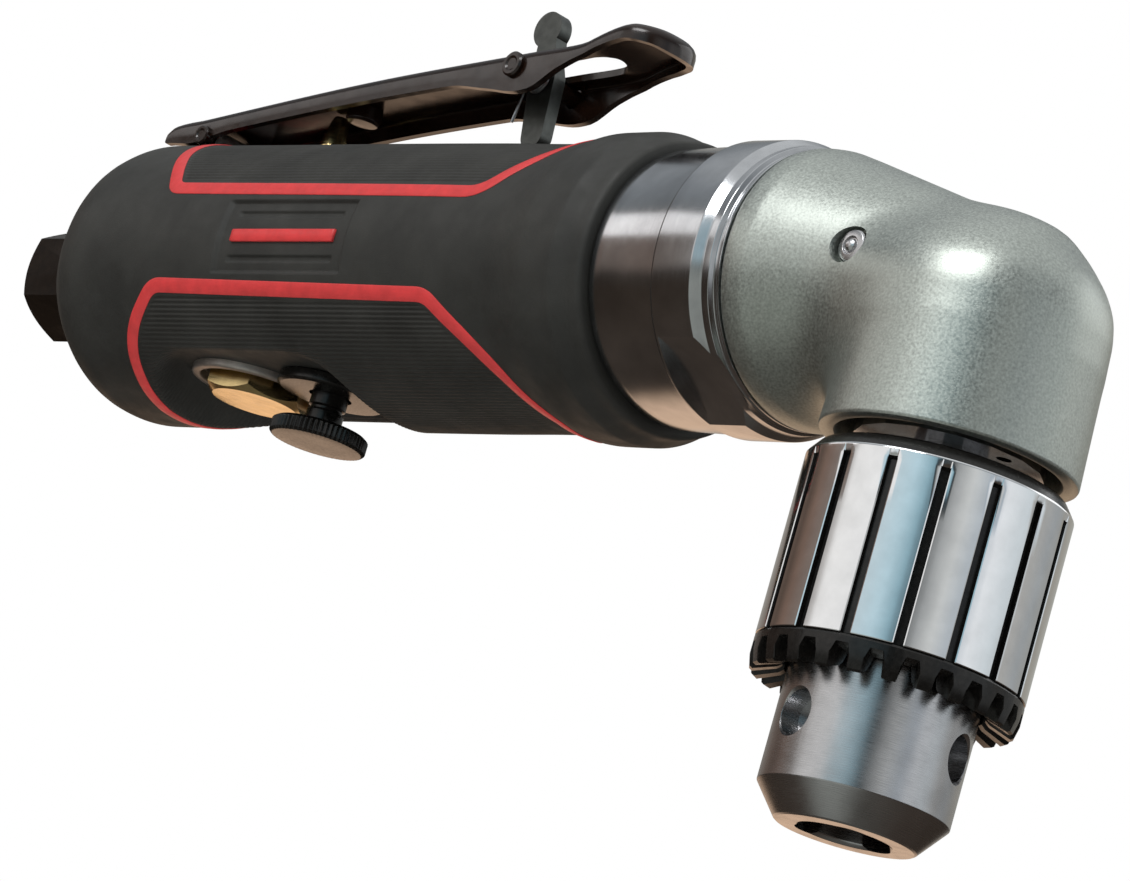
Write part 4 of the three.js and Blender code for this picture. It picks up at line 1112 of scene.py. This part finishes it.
def build_chuck_body():
    body = lathe("chuck_nose", "z", rounded(NOSE, NOSE_RADII), 160, (CHUCK_X, 0, 0), sharp=25)
    bore = [(AXIS, 9.2), (3.0, 9.4), (3.0, 12.15), (3.45, 12.75), (3.45, 16), (AXIS, 16)]
    key_level = Matrix.Translation(Vector((CHUCK_X, 0, KEY_HOLE_Z)) * MM)
    for k in range(JAWS):
        turn = Matrix.Rotation(JAW_PHASE + TURN / (2 * JAWS) + k * TURN / JAWS, 4, "Z")
        combined(body, moved(lathe("hole", "x", bore, 48), key_level, turn))
    bore = [(AXIS, -12), (3.2, -12), (3.2, 24), (AXIS, 24)]
    jaw_level = Matrix.Translation(Vector((CHUCK_X, 0, -66.0)) * MM)
    outwards = Matrix.Translation(Vector((5.5, 0, 0)) * MM)
    for k in range(JAWS):
        turn = Matrix.Rotation(JAW_PHASE + k * TURN / JAWS, 4, "Z")
        lean = Matrix.Rotation(JAW_LEAN, 4, "Y")
        combined(body, moved(lathe("channel", "z", bore, 40), jaw_level, turn, outwards, lean))
    bevelled(body, 0.12, 2, 40)
    finish_mesh(body, 28)
    dress(body, "machined_steel")
    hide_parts("chuck_body")
    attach(body, "spindle")


build_sleeve()
build_gear_ring()
build_chuck_body()


# ---------------------------------------------------------------- floor, light and camera

def build_stage():
    mesh = bpy.data.meshes.new("floor")
    half, drop = 4.0, -0.21
    corners = [(-half, -half, drop), (half, -half, drop), (half, half, drop), (-half, half, drop)]
    mesh.from_pydata(corners, [], [(0, 1, 2, 3)])
    floor = linked("floor", mesh)
    look = Look("floor_pale", (0.78, 0.76, 0.73), 0.7).tint((400, 4), 0.985, 1.015)
    mesh.materials.append(look.material)
    floor.visible_glossy = False


def softbox(name, place, size, power):
    """An oblong lamp at that place in metres, facing the tool."""
    data = bpy.data.lights.new(name, "AREA")
    data.shape = "RECTANGLE"
    data.size, data.size_y = size
    data.energy = power
    light = linked(name, data)
    light.location = place
    light.rotation_euler = (Vector((0, 0, 0.05)) - Vector(place)).to_track_quat("-Z", "Y").to_euler()


AROUND = [  # share of a turn from -X, colour of the room at the horizon
    (0.0, (0.17, 0.12, 0.095)), (0.03, (0.10, 0.07, 0.055)), (0.06, (0.20, 0.13, 0.10)),
    (0.135, (0.24, 0.21, 0.19)), (0.16, (0.96, 0.94, 0.92)), (0.245, (0.96, 0.95, 0.94)),
    (0.262, (0.62, 0.74, 0.79)), (0.31, (0.55, 0.74, 0.82)), (0.345, (0.30, 0.48, 0.56)),
    (0.365, (0.03, 0.045, 0.055)), (0.385, (0.08, 0.085, 0.085)), (0.405, (0.40, 0.41, 0.41)),
    (0.445, (0.68, 0.69, 0.68)), (0.50, (0.44, 0.50, 0.56)), (0.535, (0.92, 0.94, 0.96)),
    (0.60, (0.70, 0.76, 0.79)), (0.65, (0.46, 0.45, 0.43)), (0.70, (0.38, 0.40, 0.41)),
    (0.78, (0.36, 0.34, 0.30)), (0.86, (0.42, 0.42, 0.39)), (1.0, (0.17, 0.12, 0.095)),
]
UPWARDS = [  # height of the direction, from -1 to 1 as 0 to 1, colour away from the horizon
    (0.0, (0.11, 0.11, 0.10)), (0.12, (0.07, 0.055, 0.045)), (0.40, (0.045, 0.033, 0.025)),
    (0.50, (0.05, 0.045, 0.04)), (0.70, (0.14, 0.155, 0.16)), (0.82, (0.30, 0.32, 0.34)),
    (0.93, (0.75, 0.77, 0.78)), (1.0, (0.8, 0.82, 0.83)),
]
GLOWS = [  # soft patches in the room below the horizon: colour, direction, edge and core as cosines
    ((0.90, 0.62, 0.43), (-0.72, 0.62, -0.30), 0.88, 0.98),
    ((0.42, 0.44, 0.41), (0.12, -0.81, -0.57), 0.74, 0.95),
]


def build_world():
    """A plain white for the camera, and a room of soft bands for reflections and bounced light."""
    world = bpy.data.worlds.new("studio")
    bpy.context.scene.world = world
    sky = Nodes(world)

    def maths(operation, *values):
        new = sky.node("ShaderNodeMath", operation=operation)
        for socket, value in zip(new.inputs, values):
            if isinstance(value, float):
                socket.default_value = value
            else:
                sky.link(value, socket)
        return new.outputs[0]

    def mix(share, a, b):
        new = sky.node("ShaderNodeMix", data_type="RGBA")
        sky.link(share, new.inputs[0])
        sky.link(a, new.inputs[6])
        if isinstance(b, tuple):
            new.inputs[7].default_value = (*b, 1)
        else:
            sky.link(b, new.inputs[7])
        return new.outputs[2]

    def soft(value, low, high):
        return sky.spread(value, low, high, interpolation_type="SMOOTHSTEP")

    direction = sky.node("ShaderNodeTexCoord").outputs["Generated"]
    parts = sky.node("ShaderNodeSeparateXYZ")
    sky.link(direction, parts.inputs["Vector"])
    x, y, z = parts.outputs
    turn = maths("MULTIPLY_ADD", maths("ARCTAN2", y, x), 1 / TURN, 0.5)
    height = maths("MULTIPLY_ADD", z, 0.5, 0.5)
    away = maths("MAXIMUM", soft(z, 0.38, 0.52), soft(z, 0.02, -0.1))
    lit = mix(away, sky.ramp(turn, AROUND), sky.ramp(height, UPWARDS))
    for color, towards, edge, core in GLOWS:
        near = sky.node("ShaderNodeVectorMath", operation="DOT_PRODUCT")
        near.inputs[1].default_value = towards
        sky.link(direction, near.inputs[0])
        lit = mix(soft(near.outputs["Value"], edge, core), lit, color)

    white = sky.tree.nodes["Background"]
    white.inputs["Color"].default_value = (1, 1, 1, 1)
    room = sky.node("ShaderNodeBackground")
    sky.link(lit, room.inputs["Color"])
    seen = sky.node("ShaderNodeMixShader")
    sky.link(sky.node("ShaderNodeLightPath").outputs["Is Camera Ray"], seen.inputs[0])
    sky.link(room.outputs["Background"], seen.inputs[1])
    sky.link(white.outputs["Background"], seen.inputs[2])
    sky.link(seen.outputs["Shader"], sky.tree.nodes["World Output"].inputs["Surface"])


AZIMUTH, ELEVATION, ROLL = (math.radians(a) for a in (48.70, -12.73, 16.23))
CAMERA_TARGET, CAMERA_DISTANCE, CAMERA_LENS = (0.01631, 0.0, 0.05126), 0.7517, 174.23


def build_camera():
    back = Vector((math.sin(AZIMUTH) * math.cos(ELEVATION), -math.cos(AZIMUTH) * math.cos(ELEVATION),
                   math.sin(ELEVATION)))
    right = Vector((math.cos(AZIMUTH), math.sin(AZIMUTH), 0))
    up = back.cross(right)
    rolled_right = right * math.cos(ROLL) + up * math.sin(ROLL)
    rolled_up = up * math.cos(ROLL) - right * math.sin(ROLL)
    data = bpy.data.cameras.new("camera")
    data.sensor_width = 36
    data.lens = CAMERA_LENS
    data.clip_start = 0.01
    camera = linked("camera", data)
    turn = Matrix((rolled_right, rolled_up, back)).transposed().to_4x4()
    camera.matrix_world = Matrix.Translation(Vector(CAMERA_TARGET) + back * CAMERA_DISTANCE) @ turn
    bpy.context.scene.camera = camera


build_stage()
build_world()
softbox("key", (0.1, -0.75, 0.75), (0.5, 0.35), 5)
softbox("fill", (-0.71, -0.54, 0.44), (0.6, 0.2), 0.45)
softbox("rim", (0.35, 0.8, 0.6), (0.9, 0.5), 1.6)
build_camera()
bpy.context.scene.view_settings.view_transform = "Standard"
